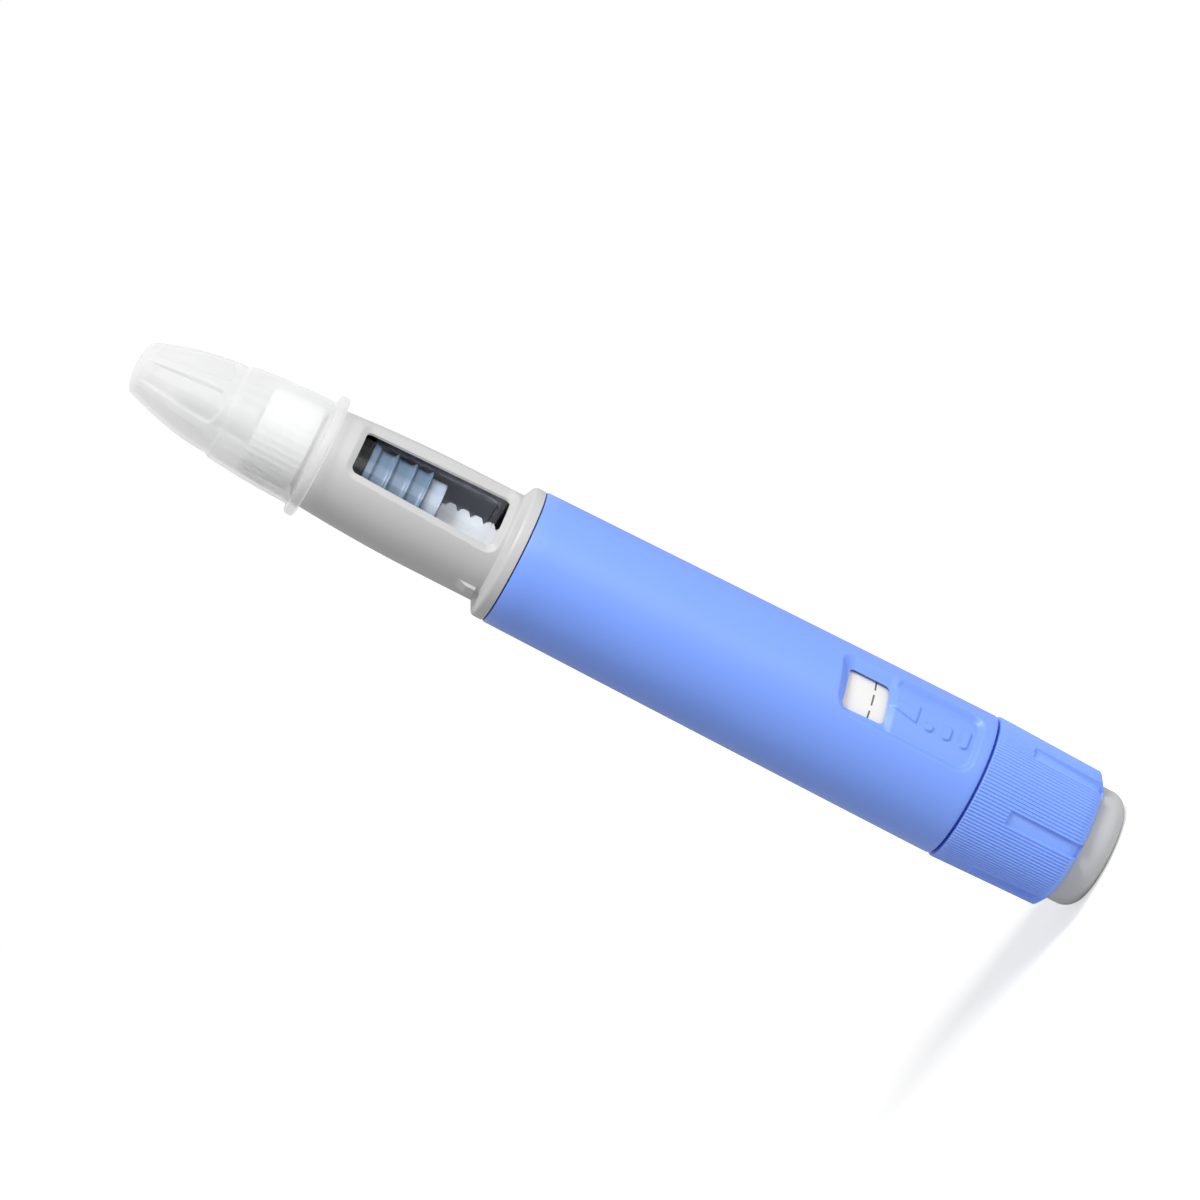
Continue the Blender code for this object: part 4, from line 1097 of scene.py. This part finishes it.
@dataclass
class Cartridge(SubAssembly):
    """Glass cartridge with its rubber plunger, septum and crimp cap."""

    rear: float = 87.0
    barrel_front: float = 107.3
    inner_front: float = 107.0
    neck_rear: float = 109.4
    flange_rear: float = 111.0
    front: float = 112.6
    radius: float = 5.8
    wall: float = 0.98
    neck_radius: float = 2.8
    flange_radius: float = 3.35
    outlet: float = 1.5
    plunger_rear: float = 95.97
    plunger_front: float = 104.0
    plunger_radius: float = 4.74
    valley_depth: float = 0.4
    ribs: tuple[tuple[float, float], ...] = (
        (95.97, 96.17), (98.22, 98.42), (100.75, 100.95), (103.15, 104.0))
    rib_run: float = 0.3

    def build(self) -> None:
        """Builds the glass and the plunger and dresses the closure."""
        inner = self.radius - self.wall
        glass = softened([
            (inner, self.rear, 0), (self.radius - self.wall / 2, self.rear, 0.2),
            (self.radius, self.rear, 0.35), (self.radius, self.barrel_front, 1.0),
            (self.neck_radius, self.neck_rear, 0.5), (self.neck_radius, self.flange_rear, 0.2),
            (self.flange_radius, self.flange_rear, 0.25), (self.flange_radius, self.front, 0.25),
            (self.outlet, self.front, 0.2), (self.outlet, self.neck_rear - self.wall / 2, 0.5),
            (inner, self.inner_front, 0.2), (inner, self.rear, 0)])[:-1]
        self.place("glass_barrel", lathe(glass, 160), CARTRIDGE_GLASS, Body.HOUSING, Slot.GLASS,
                   "cartridge_glass", crease=50)
        valley = self.plunger_radius - self.valley_depth
        plunger: list[tuple[float, float, float]] = [(0.0, self.plunger_rear, 0)]
        for index, (start, end) in enumerate(self.ribs):
            if index:
                plunger.append((valley, start - self.rib_run, 0.3))
            plunger += [(self.plunger_radius, start, 0.12), (self.plunger_radius, end, 0.12)]
            if index < len(self.ribs) - 1:
                plunger.append((valley, end + self.rib_run, 0.3))
        plunger.append((0.0, self.plunger_front, 0))
        self.place("rubber_plunger", lathe(softened(plunger), 128), PLUNGER_RUBBER, Body.PLUNGER,
                   Slot.PLUNGER, "cartridge_plunger", crease=50)
        self.dress("cartridge_septum", SEPTUM_RUBBER)
        self.dress("cartridge_crimp_cap", CRIMP_METAL)


@dataclass
class PistonDrive(SubAssembly):
    """Toothed piston rod with its foot, and the tube that turns it."""

    rear: float = 44.32
    front: float = 93.45
    radius: float = 2.37
    depth: float = 0.57
    pitch: float = 1.79
    starts: int = 2
    teeth: int = 27
    flat_half: float = 1.2
    plain_end: float = 0.8
    tooth_rise: tuple[float, float] = (0.02, 0.24)
    tooth_fall: tuple[float, float] = (0.62, 0.97)
    tooth_steps: int = 12
    pivot_radius: float = 1.2
    pivot_half_arc: float = 88.2
    pivot_length: float = 1.5
    foot_rear: float = 93.75
    foot_front: float = 95.93
    foot_radius: float = 4.05
    socket_radius: float = 1.5
    socket_front: float = 95.25
    arc_steps: int = 10

    def tooth(self, share: float) -> float:
        """Works out the radius of the thread.

        Args:
            share: Share of the pitch, from 0 to 1.

        Returns:
            The radius there.
        """
        rise = ramp(np.array(share), *self.tooth_rise)
        fall = ramp(np.array(share), *self.tooth_fall)
        return float(self.radius - self.depth + self.depth * (rise - fall))

    def rod(self) -> Skin:
        """Builds the two-start screw with its two flats.

        Returns:
            The closed skin.
        """
        skin = Skin()
        lift = self.pitch * self.starts / TURN
        shares = np.linspace(-1, 1, self.arc_steps + 1)

        def station(height: float, radius: float, half_arc: float, rise: float) -> np.ndarray:
            """Adds the two arcs of one ring, which climb by a rise for each degree.

            Args:
                height: Height at the middle of the arcs.
                radius: Radius of the arcs.
                half_arc: Degrees from the middle of an arc to its end.
                rise: Climb for each degree, or 0 for a level ring.

            Returns:
                The points' numbers.
            """
            turns = np.concatenate([shares * half_arc, shares * half_arc])
            centres = np.repeat([90.0, 270.0], len(shares))
            highest = self.front - 0.05 if rise else height
            return skin.ring(centres + turns, radius, np.minimum(height + rise * turns, highest))

        def half_arc(radius: float) -> float:
            """Degrees from the middle of an arc to the edge of a flat."""
            return math.degrees(math.asin(self.flat_half / radius))

        root = self.radius - self.depth
        rings = [station(self.rear, root, half_arc(root), 0.0)]
        for index in range(self.teeth):
            base = self.rear + self.plain_end + index * self.pitch
            for share in np.linspace(0.0, 1.0, self.tooth_steps + 1)[:-1]:
                radius = self.tooth(share)
                rings.append(station(base + share * self.pitch, radius, half_arc(radius), lift))
        rings.append(station(self.front, root, half_arc(root), 0.0))
        for height in (self.front, self.front + self.pivot_length):
            rings.append(station(height, self.pivot_radius, self.pivot_half_arc, 0.0))
        skin.rod(rings)
        return skin

    def build(self) -> None:
        """Builds the rod and its foot and dresses the drive tube and its nut."""
        self.place("toothed_rod", self.rod(), ROD_ACETAL, Body.ROD, Slot.WHITE, "piston_rod",
                   crease=40)
        foot = softened([
            (self.socket_radius, self.foot_rear, 0), (self.foot_radius, self.foot_rear, 0.15),
            (self.foot_radius, self.foot_front, 0.3), (0.0, self.foot_front, 0)])
        foot += [(0.0, self.socket_front), (self.socket_radius, self.socket_front)]
        # The foot wears the darker, bluer copy of the acetal: painted shade.
        self.place("rod_foot", lathe(foot, 96), FOOT_ACETAL_PAINTED_SHADE, Body.PLUNGER, Slot.WHITE,
                   "piston_foot")
        self.dress("drive_tube", GREY_ACETAL)
        self.dress("end_of_content_nut", ROD_ACETAL)


@dataclass
class DoseDial(SubAssembly):
    """Ribbed selector ring, scale drum with its printed dashes, push button and its spring."""

    rear: float = 4.15
    front: float = 19.3
    rear_radius: float = 9.30
    front_radius: float = 9.686
    mouth_radius: float = 8.22
    chamfer: tuple[tuple[float, float], ...] = ((8.75, 4.55), (9.2, 4.88))
    chamfer_front: float = 4.98
    front_edge: float = 0.22
    front_bore: float = 8.41
    web_rear: float = 13.5
    web_front: float = 15.0
    web_hole: float = 2.9
    button_bore: float = 8.1
    ribs: int = 132
    rib_depth: float = 0.17
    rib_sharpness: tuple[float, float] = (1.35, 0.17)
    rib_fade_rear: tuple[float, float] = (0.45, 0.3)
    rib_fade_front: tuple[float, float] = (0.05, 0.15)
    columns_per_rib: int = 8
    groove_count: int = 6
    groove_azimuth: float = 20.5
    groove_half: float = 1.02
    groove_front: float = 14.4
    groove_depth_front: float = 0.45
    groove_depth_rear: float = 0.75
    groove_corner: float = 0.35
    groove_flare: float = 0.273
    groove_soft: tuple[float, float] = (-0.13, 0.03)
    button_radius: float = 7.8
    button_rim: float = 11.0
    button_fillet: float = 2.25
    button_wall: float = 1.1
    button_floor: float = 1.8
    button_face: float = 3.0
    fillet_steps: int = 12
    post_radius: float = 2.0
    post_front: float = 9.9
    spring_radius: float = 4.35
    spring_wire: float = 0.3
    spring_rear: float = 2.1
    spring_front: float = 13.2
    spring_turns: float = 4.5
    spring_steps: int = 36
    wire_columns: int = 10
    press: float = 2.2
    drum_rear: float = 26.0
    drum_front: float = 52.0
    drum_radius: float = 7.75
    drum_bore: float = 6.45
    drum_edge: float = 0.2
    key_count: int = 4
    key_half: float = 1.3
    key_depth: float = 0.4
    dash_lead: float = 4.07
    dash_azimuth: float = 0.4
    dash_height: float = 35.52
    dash_length: float = 11.8
    dash_pitch: float = 17.14
    dash_width: float = 0.22
    dash_film: float = 0.012

    def selector_relief(self, azimuth: np.ndarray, radius: float, height: float) -> np.ndarray:
        """Cuts the ribs and grooves of the selector at one height.

        Args:
            azimuth: Azimuths of the ring's points, in degrees.
            radius: Radius of the plain selector there.
            height: Height of the ring.

        Returns:
            The new radius of each point.
        """
        from_rear, run_rear = self.rib_fade_rear
        from_front, run_front = self.rib_fade_front
        inset = min(1.0, max(0.0, (self.front - from_front - height) / run_front),
                    max(0.0, (height - self.rear - from_rear) / run_rear))
        gain, cut = self.rib_sharpness
        wave = 0.5 - 0.5 * np.cos(np.radians(azimuth * self.ribs))
        ribbed = radius - self.rib_depth * np.clip(wave * gain - cut, 0, 1) * inset
        turn = wrapped(azimuth, self.groove_azimuth, TURN / self.groove_count)
        side = np.abs(np.radians(turn)) * self.rear_radius - self.groove_half
        outward = beyond_edge(side, height - self.groove_front, self.groove_corner)
        share = (height - self.rear) / (self.groove_front - self.rear)
        depth = self.groove_depth_rear + (self.groove_depth_front - self.groove_depth_rear) * share
        floor = min(radius, self.rear_radius + self.groove_flare * share) - depth
        grooved = floor + (ribbed - floor) * ramp(outward, *self.groove_soft)
        return np.where(outward < self.groove_soft[1], np.minimum(grooved, ribbed), ribbed)

    def selector(self) -> Skin:
        """Builds the selector ring with its web.

        Returns:
            The closed skin.
        """
        skin = Skin()
        azimuth, plain = around(self.ribs * self.columns_per_rib), around(144)
        heights = stations(self.chamfer_front, (13.4, 1.0), (14.7, 0.09),
                           (self.front - self.front_edge, 1.0))
        flare = (self.front_radius - self.rear_radius) / (self.front - self.chamfer_front)
        section: Profile = [(self.mouth_radius, self.rear), *self.chamfer]
        section += [(self.rear_radius + flare * (height - self.chamfer_front), float(height))
                    for height in heights]
        section += [(self.front_radius - 0.02, self.front - 0.1),
                    (self.front_radius - 0.08, self.front - 0.03)]
        rings = [skin.ring(azimuth, self.selector_relief(azimuth, radius, height), height)
                 for radius, height in section]
        rings += skin.rings(plain, [
            (self.front_radius - self.front_edge, self.front), (self.front_bore, self.front),
            (self.front_bore, self.web_front)])
        rings += skin.rings(around(48), [
            (self.web_hole, self.web_front), (self.web_hole, self.web_rear)])
        rings += skin.rings(plain, [
            (self.button_bore, self.web_rear), (self.button_bore, self.rear + 0.12),
            (self.mouth_radius - 0.04, self.rear)])
        skin.join(rings)
        return skin

    def drum(self) -> Skin:
        """Builds the scale drum with its inner key slots.

        Returns:
            The closed skin.
        """
        skin = Skin()
        azimuth = around(180)
        across = np.abs(np.radians(wrapped(azimuth, 0.0, TURN / self.key_count))) * self.drum_bore
        slotted = self.drum_bore + self.key_depth * (across < self.key_half)
        edge = self.drum_edge
        skin.join(skin.rings(azimuth, [
            (self.drum_radius - edge, self.drum_rear), (self.drum_radius, self.drum_rear + edge),
            (self.drum_radius, self.drum_front - edge), (self.drum_radius - edge, self.drum_front),
            (slotted, self.drum_front), (slotted, self.drum_rear)]))
        return skin

    def dashes(self) -> Skin:
        """Builds the printed dashes, a thin film of ink along the drum's helix.

        Returns:
            The skin of all the dashes.
        """
        skin = Skin()
        climb_each = self.dash_lead * self.dash_pitch / TURN
        first = math.ceil((self.drum_rear + 1 - self.dash_height) / climb_each)
        last = math.floor((self.drum_front - 1 - self.dash_height) / climb_each)
        for number in range(first, last + 1):
            middle = self.dash_azimuth + number * self.dash_pitch
            turns = middle + np.linspace(-0.5, 0.5, 5) * self.dash_length
            climb = self.dash_height + (turns - self.dash_azimuth) / TURN * self.dash_lead
            strips = [skin.ring(turns, self.drum_radius + depth * self.dash_film,
                                climb + side * self.dash_width)
                      for depth, side in ((-1, -0.5), (1, -0.5), (1, 0.5), (-1, 0.5))]
            for lower, upper in zip(strips, strips[1:] + strips[:1]):
                for step in range(len(turns) - 1):
                    skin.fill([lower[step], lower[step + 1], upper[step + 1], upper[step]])
            for end in (0, -1):
                skin.fill([strip[end] for strip in strips])
        return skin

    def button(self) -> Profile:
        """Draws the section of the cup-shaped push button.

        Returns:
            The section's points, from the end face round to the post.
        """
        inner = self.button_radius - self.button_wall
        fillet = self.button_fillet
        outside: Profile = [(0.0, 0.0), (self.button_face, 0.0)]
        for turn in np.linspace(-math.pi / 2, 0, self.fillet_steps + 1):
            outside.append((self.button_radius - fillet + fillet * math.cos(turn),
                            fillet * (1 + math.sin(turn))))
        return outside + softened([
            (self.button_radius, fillet + 0.3, 0), (self.button_radius, self.button_rim, 0.2),
            (inner, self.button_rim, 0.2), (inner, self.button_floor, 0.3),
            (self.post_radius, self.button_floor, 0.2), (self.post_radius, self.post_front, 0.3),
            (0.0, self.post_front, 0)])

    def spring(self) -> Skin:
        """Builds the button's spring, a round wire wound round the post.

        Returns:
            The closed skin.
        """
        skin = Skin()
        turn = np.radians(around(self.wire_columns))
        rings = []
        for share in np.linspace(0.0, 1.0, round(self.spring_turns * self.spring_steps) + 1):
            height = self.spring_rear + self.spring_wire
            height += share * (self.spring_front - self.spring_rear - 2 * self.spring_wire)
            rings.append(skin.ring(np.full(self.wire_columns, TURN * self.spring_turns * share),
                                   self.spring_radius + self.spring_wire * np.cos(turn),
                                   height + self.spring_wire * np.sin(turn)))
        skin.rod(rings)
        return skin

    def build(self) -> None:
        """Builds the selector, drum, print, button and spring, and dresses the reset tube."""
        # The selector's lighter blue is painted light over the shade of its ribs.
        self.place("selector_ring", self.selector(), SELECTOR_PLASTIC_PAINTED_LIGHT, Body.SELECTOR, Slot.SELECTOR,
                   "dose_selector", crease=50)
        self.place("dose_drum", self.drum(), DRUM_PLASTIC, Body.DRUM, Slot.DRUM, "scale_drum")
        self.place("drum_dashes", self.dashes(), SCALE_INK, Body.DRUM, Slot.DARK)
        self.place("push_button", lathe(self.button(), 160), BUTTON_PLASTIC, Body.BUTTON,
                   Slot.BUTTON, "dose_button")
        coil = self.place("press_spring", self.spring(), SPRING_METAL, Body.BUTTON, Slot.SPRING,
                          "button_spring", crease=50)
        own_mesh(coil)
        self.dress("reset_tube", GREY_ACETAL)


@dataclass
class NeedleSet(SubAssembly):
    """Needle hub with its steel tube, the slim inner cap and the fluted outer cap."""

    hub_rear: float = 111.2
    hub_front: float = 118.0
    hub_radius: float = 5.45
    hub_bore: float = 5.0
    hub_inner_front: float = 116.8
    hub_ribs: int = 36
    hub_rib_height: float = 0.1
    hub_rib_sharpness: float = 1.5
    tower_radius: float = 1.6
    tower_bore: float = 0.45
    tower_front: float = 120.9
    needle_rear: float = 111.7
    needle_front: float = 126.9
    needle_radius: float = 0.15
    inner_rear: float = 118.3
    inner_front: float = 128.4
    inner_bore: float = 1.9
    inner_wall: float = 0.6
    inner_draft: float = 0.3
    cap_rear: float = 109.0
    cap_front: float = 134.5
    cap_mouth: float = 6.86
    flange_radius: float = 8.05
    flange_front: float = 110.4
    skirt_radius: float = 6.93
    skirt_front: float = 121.5
    skirt_power: float = 1.9
    shoulder_radius: float = 6.25
    nose_rear: float = 122.4
    nose_radius: float = 5.87
    tip_radius: float = 3.5
    tip_rear: float = 133.3
    taper_power: float = 1.65
    wall: float = 0.5
    wall_lag: float = 0.15
    flute_depth: float = 0.42
    flute_sag: float = 0.25
    flute_rear: float = 122.85
    flute_round: float = 1.5
    rib_azimuth: float = -6.5
    rib_half: float = 6.8
    rib_count: int = 6
    spline_count: int = 24
    spline_height: float = 0.33
    spline_sharpness: tuple[float, float] = (3.0, 1.2)
    spline_ends: tuple[float, float] = (113.4, 121.3)

    def skirt(self, height: float) -> float:
        """Works out the outer radius of the cap's skirt.

        Args:
            height: Height on the skirt.

        Returns:
            The radius there.
        """
        share = (height - self.flange_front) / (self.skirt_front - self.flange_front)
        drop = self.skirt_radius - self.shoulder_radius
        return self.skirt_radius - drop * share ** self.skirt_power

    def nose(self, height: float) -> float:
        """Works out the outer radius of the cap's ribs.

        Args:
            height: Height on the nose.

        Returns:
            The radius there.
        """
        share = max(height - self.nose_rear, 0.0) / (self.tip_rear - self.nose_rear)
        return self.nose_radius - (self.nose_radius - self.tip_radius) * share ** self.taper_power

    def flutes(self, azimuth: np.ndarray, height: float) -> np.ndarray:
        """Works out the depth of the flutes between the cap's ribs.

        Args:
            azimuth: Azimuths of the ring's points, in degrees.
            height: Height of the ring.

        Returns:
            The depth at each point.
        """
        spacing = TURN / self.rib_count
        turn = np.abs(wrapped(azimuth, self.rib_azimuth, spacing))
        aside = turn / (spacing / 2)
        bowl = ramp(turn, self.rib_half - 1.0, self.rib_half + 4.0)
        sag = 1 - self.flute_sag * aside ** 2
        rounding = self.flute_round * (1 - aside) ** 2
        ends = (ramp(height - self.flute_rear - rounding, -0.3, 0.3)
                * (1 - ramp(np.array(height), self.tip_rear - 1.8, self.tip_rear + 0.4)))
        return self.flute_depth * bowl * sag * ends

    def outer_cap(self) -> Skin:
        """Builds the outer cap as one even wall.

        Returns:
            The closed skin.
        """
        skin = Skin()
        azimuth = around(480)
        rim = softened([
            (self.cap_mouth, self.cap_rear, 0), (self.flange_radius, self.cap_rear, 0.55),
            (self.flange_radius, self.flange_front, 0.55),
            (self.skirt_radius, self.flange_front, 0.3),
            (self.skirt(self.flange_front + 0.6), self.flange_front + 0.6, 0)])
        skirt = [(self.skirt(height), float(height)) for height in
                 stations(self.flange_front + 0.9, (self.skirt_front - 0.2, 1.2))]
        shoulder = softened([(self.shoulder_radius, self.skirt_front - 0.1, 0),
                             (self.shoulder_radius - 0.06, self.skirt_front + 0.15, 0.2),
                             (self.nose_radius + 0.05, self.skirt_front + 0.45, 0.2),
                             (self.nose_radius, self.nose_rear - 0.2, 0)], 4)
        nose = [(self.nose(height), float(height)) for height in
                stations(self.nose_rear, (self.flute_rear + 1.8, 0.15), (self.tip_rear, 0.4))]
        height = self.cap_front - self.tip_rear
        tip = [(self.tip_radius * math.cos(turn), self.tip_rear + height * math.sin(turn))
               for turn in np.radians(np.arange(12, 85, 12))]
        rings = [skin.ring(azimuth, radius - self.flutes(azimuth, level), level)
                 for radius, level in rim + skirt + shoulder + nose + tip]
        rings.append(skin.ring(azimuth[:1], 0.0, self.cap_front))
        inside = [(radius - self.wall, level - self.wall_lag) for radius, level in
                  reversed(skirt + shoulder + nose)]
        inner = [skin.ring(azimuth[:1], 0.0, self.tip_rear + 0.45)]
        inner += [skin.ring(azimuth, (self.tip_radius - self.wall) * share, self.tip_rear + rise)
                  for share, rise in ((0.4, 0.4), (0.75, 0.22))]
        gain, cut = self.spline_sharpness
        crest = np.clip(np.cos(np.radians(azimuth * self.spline_count)) * gain - cut, 0, 1)
        for radius, level in inside:
            splined = self.spline_ends[0] < level < self.spline_ends[1]
            inner.append(skin.ring(azimuth, radius - self.flutes(azimuth, level + self.wall_lag)
                                   - splined * self.spline_height * crest, level))
        inner.append(skin.ring(azimuth, self.cap_mouth - 0.02, self.cap_rear + 0.3))
        skin.join(rings, closed=False)
        skin.join(inner, closed=False)
        skin.bridge(inner[-1], rings[0])
        return skin

    def hub(self) -> Skin:
        """Builds the ribbed hub with its needle tower.

        Returns:
            The closed skin.
        """
        skin = Skin()
        azimuth = around(self.hub_ribs * 8)
        wave = np.clip(np.cos(np.radians(azimuth * self.hub_ribs)) * self.hub_rib_sharpness, 0, 1)
        ribbed = self.hub_radius + self.hub_rib_height * wave
        rings = skin.rings(azimuth, [
            (self.hub_radius - 0.1, self.hub_rear), (ribbed, self.hub_rear + 0.15),
            (ribbed, self.hub_front - 0.5), (self.hub_radius - 0.15, self.hub_front - 0.12),
            (self.hub_radius - 0.4, self.hub_front)])
        rings += skin.rings(around(64), softened([
            (self.hub_radius - 1.0, self.hub_front, 0),
            (self.tower_radius + 0.2, self.hub_front, 0.3),
            (self.tower_radius, self.tower_front, 0.3), (self.tower_bore, self.tower_front, 0),
            (self.tower_bore, self.hub_inner_front, 0), (self.hub_bore, self.hub_inner_front, 0),
            (self.hub_bore, self.hub_rear, 0)]))
        skin.join(rings)
        return skin

    def build(self) -> None:
        """Builds the hub, the needle tube and both caps."""
        self.place("ribbed_hub", self.hub(), HUB_PLASTIC, Body.NEEDLE, Slot.WHITE, "needle_hub")
        tube: Profile = [(0.0, self.needle_rear), (self.needle_radius, self.needle_rear + 0.5),
                         (self.needle_radius, self.needle_front - 0.7), (0.0, self.needle_front)]
        self.place("needle_tube", lathe(tube, 24), NEEDLE_METAL, Body.NEEDLE_TUBE, Slot.NEEDLE,
                   "needle_cannula")
        mouth = self.inner_bore + self.inner_wall
        tip = mouth - self.inner_draft
        sheath = softened([
            (self.inner_bore, self.inner_rear, 0), (mouth, self.inner_rear, 0.15),
            (mouth - 0.05, self.inner_rear + 1.2, 0.2), (mouth - 0.15, self.inner_rear + 1.25, 0.1),
            (tip, self.inner_front, 0.9), (0.0, self.inner_front, 0)])
        end = self.inner_front - self.inner_wall
        sheath += [(0.0, end), (0.9, end),
                   (self.inner_bore - self.inner_draft, self.inner_front - 1.4)]
        self.place("inner_sheath", lathe(sheath, 96), INNER_CAP_PLASTIC, Body.INNER_CAP, Slot.WHITE,
                   "inner_needle_cap")
        self.place("fluted_cap", self.outer_cap(), CAP_PLASTIC, Body.OUTER_CAP, Slot.CAP,
                   "outer_needle_cap")


# ---------------------------------------------------------------------------------------------
# Studio
# ---------------------------------------------------------------------------------------------


@dataclass
class Lamp:
    """One soft area lamp, placed by the camera's own directions.

    Attributes:
        name: Name of the lamp.
        right: How far it stands to the camera's right, in metres.
        up: How far it stands above the camera's line, in metres.
        toward: How far it stands in front of the pen, towards the camera, in metres.
        size: Edge of its square face, in metres.
        power: Power in watts.
    """

    name: str
    right: float
    up: float
    toward: float
    size: float
    power: float


@dataclass
class Studio:
    """Pale floor, soft lamps, white surroundings and the photograph's camera."""

    target: Vector = field(default_factory=lambda: Vector((0, 0, 70.5)) * MM)
    distance: float = 0.679
    azimuth: float = -33.0
    elevation: float = 6.1
    axis_angle: float = 153.0
    lens: float = 165.0
    clip: tuple[float, float] = (0.01, 20.0)
    floor_radius: float = 3.0
    floor_drop: float = 0.00005
    floor_columns: int = 64
    glow_reach: tuple[float, float] = (0.05, 0.6)
    glow: tuple[float, float] = (0.56, 0.78)
    ambient: float = 0.3
    lamps: tuple[Lamp, ...] = (
        Lamp("key", -0.306, 0.478, 0.410, 0.22, 3.79),
        Lamp("sheen", 0.174, 0.341, 0.526, 0.35, 0.92),
    )

    def view_axes(self) -> tuple[Vector, Vector, Vector]:
        """Works out the camera's directions.

        Returns:
            Its right, up and backward unit vectors; the backward one points from the pen to it.
        """
        turn, tilt = math.radians(self.azimuth), math.radians(self.elevation)
        back = Vector((math.sin(turn) * math.cos(tilt), -math.cos(turn) * math.cos(tilt),
                       math.sin(tilt)))
        level_right = Vector((0, 0, 1)).cross(back).normalized()
        level_up = back.cross(level_right)
        roll = Matrix.Rotation(-math.radians(self.axis_angle - 90), 3, back)
        return roll @ level_right, roll @ level_up, back

    def set_camera(self) -> None:
        """Puts the camera where the photograph was taken from."""
        right, up, back = self.view_axes()
        data = bpy.data.cameras.new("camera")
        data.lens = self.lens
        data.clip_start, data.clip_end = self.clip
        camera = linked("camera", data)
        turned = Matrix((right, up, back)).transposed().to_4x4()
        camera.matrix_world = Matrix.Translation(self.target + back * self.distance) @ turned
        bpy.context.scene.camera = camera

    def set_lamps(self) -> None:
        """Adds the soft lamps."""
        right, up, back = self.view_axes()
        for lamp in self.lamps:
            data = bpy.data.lights.new(lamp.name, "AREA")
            data.size = lamp.size
            data.energy = lamp.power
            place = self.target + right * lamp.right + up * lamp.up + back * lamp.toward
            facing = (self.target - place).to_track_quat("-Z", "Y").to_matrix().to_4x4()
            linked(lamp.name, data).matrix_world = Matrix.Translation(place) @ facing

    def set_world(self) -> None:
        """Lights the pen evenly and shows white behind it."""
        world = bpy.data.worlds.new("studio")
        bpy.context.scene.world = world
        tree = emptied(world)
        ray = add_node(tree, "LightPath").outputs
        seen = add_node(tree, "Math", {"operation": "MAXIMUM"}, n0=ray["Is Camera Ray"],
                        n1=ray["Is Glossy Ray"])
        seen = add_node(tree, "Math", {"operation": "MAXIMUM"}, n0=seen.outputs[0],
                        n1=ray["Is Transmission Ray"])
        level = add_node(tree, "MapRange", value=seen.outputs[0], to_min=self.ambient, to_max=1.0)
        light = add_node(tree, "Background", color=linear("ffffff"),
                         strength=level.outputs["Result"])
        add_node(tree, "OutputWorld", surface=light.outputs["Background"])

    def add_floor(self) -> None:
        """Adds the pale floor that the pen stands on, a sheet of white card.

        Card is pressed and uncoated: dead matt and even, with a soft shadow. To the camera alone it
        glows a little, less near the pen, so that it shows white and keeps the shadow.
        """
        material = bpy.data.materials.new("floor_card_matt")
        tree = emptied(material)
        ray = add_node(tree, "LightPath").outputs
        card = add_node(tree, "BsdfDiffuse", color=linear("f2f2f2"))
        place = add_node(tree, "NewGeometry").outputs["Position"]
        spread = add_node(tree, "VectorMath", {"operation": "LENGTH"}, n0=place)
        level = add_node(tree, "MapRange", value=spread.outputs["Value"],
                         from_min=self.glow_reach[0], from_max=self.glow_reach[1],
                         to_min=self.glow[0], to_max=self.glow[1])
        glow = add_node(tree, "Emission", color=linear("ffffff"), strength=level.outputs["Result"])
        seen = add_node(tree, "AddShader", n0=card.outputs[0], n1=glow.outputs[0])
        mixed = add_node(tree, "MixShader", n0=ray["Is Camera Ray"], n1=card.outputs[0],
                         n2=seen.outputs[0])
        add_node(tree, "OutputMaterial", surface=mixed.outputs[0])
        data = bpy.data.meshes.new("floor")
        rim = [(self.floor_radius * math.cos(turn), self.floor_radius * math.sin(turn),
                -self.floor_drop) for turn in np.radians(around(self.floor_columns))]
        data.from_pydata(rim, [], [tuple(range(self.floor_columns))])
        data.materials.append(material)
        floor = linked("floor", data)

    def build(self) -> None:
        """Sets up the camera, the light and the floor."""
        self.set_camera()
        self.set_lamps()
        self.set_world()
        self.add_floor()
        bpy.context.scene.view_settings.view_transform = "Standard"


def main() -> None:
    """Loads the frame, sets up the studio and builds every sub-assembly in order."""
    logging.basicConfig(level=logging.INFO, format="%(message)s")
    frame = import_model()
    Studio().build()
    for kind in (Housing, CartridgeHolder, Cartridge, PistonDrive, DoseDial, NeedleSet):
        LOG.info("building %s", kind.__name__)
        kind(frame["nodes"]).build()
    LOG.info("sizes written")


if __name__ == "__main__":
    main()
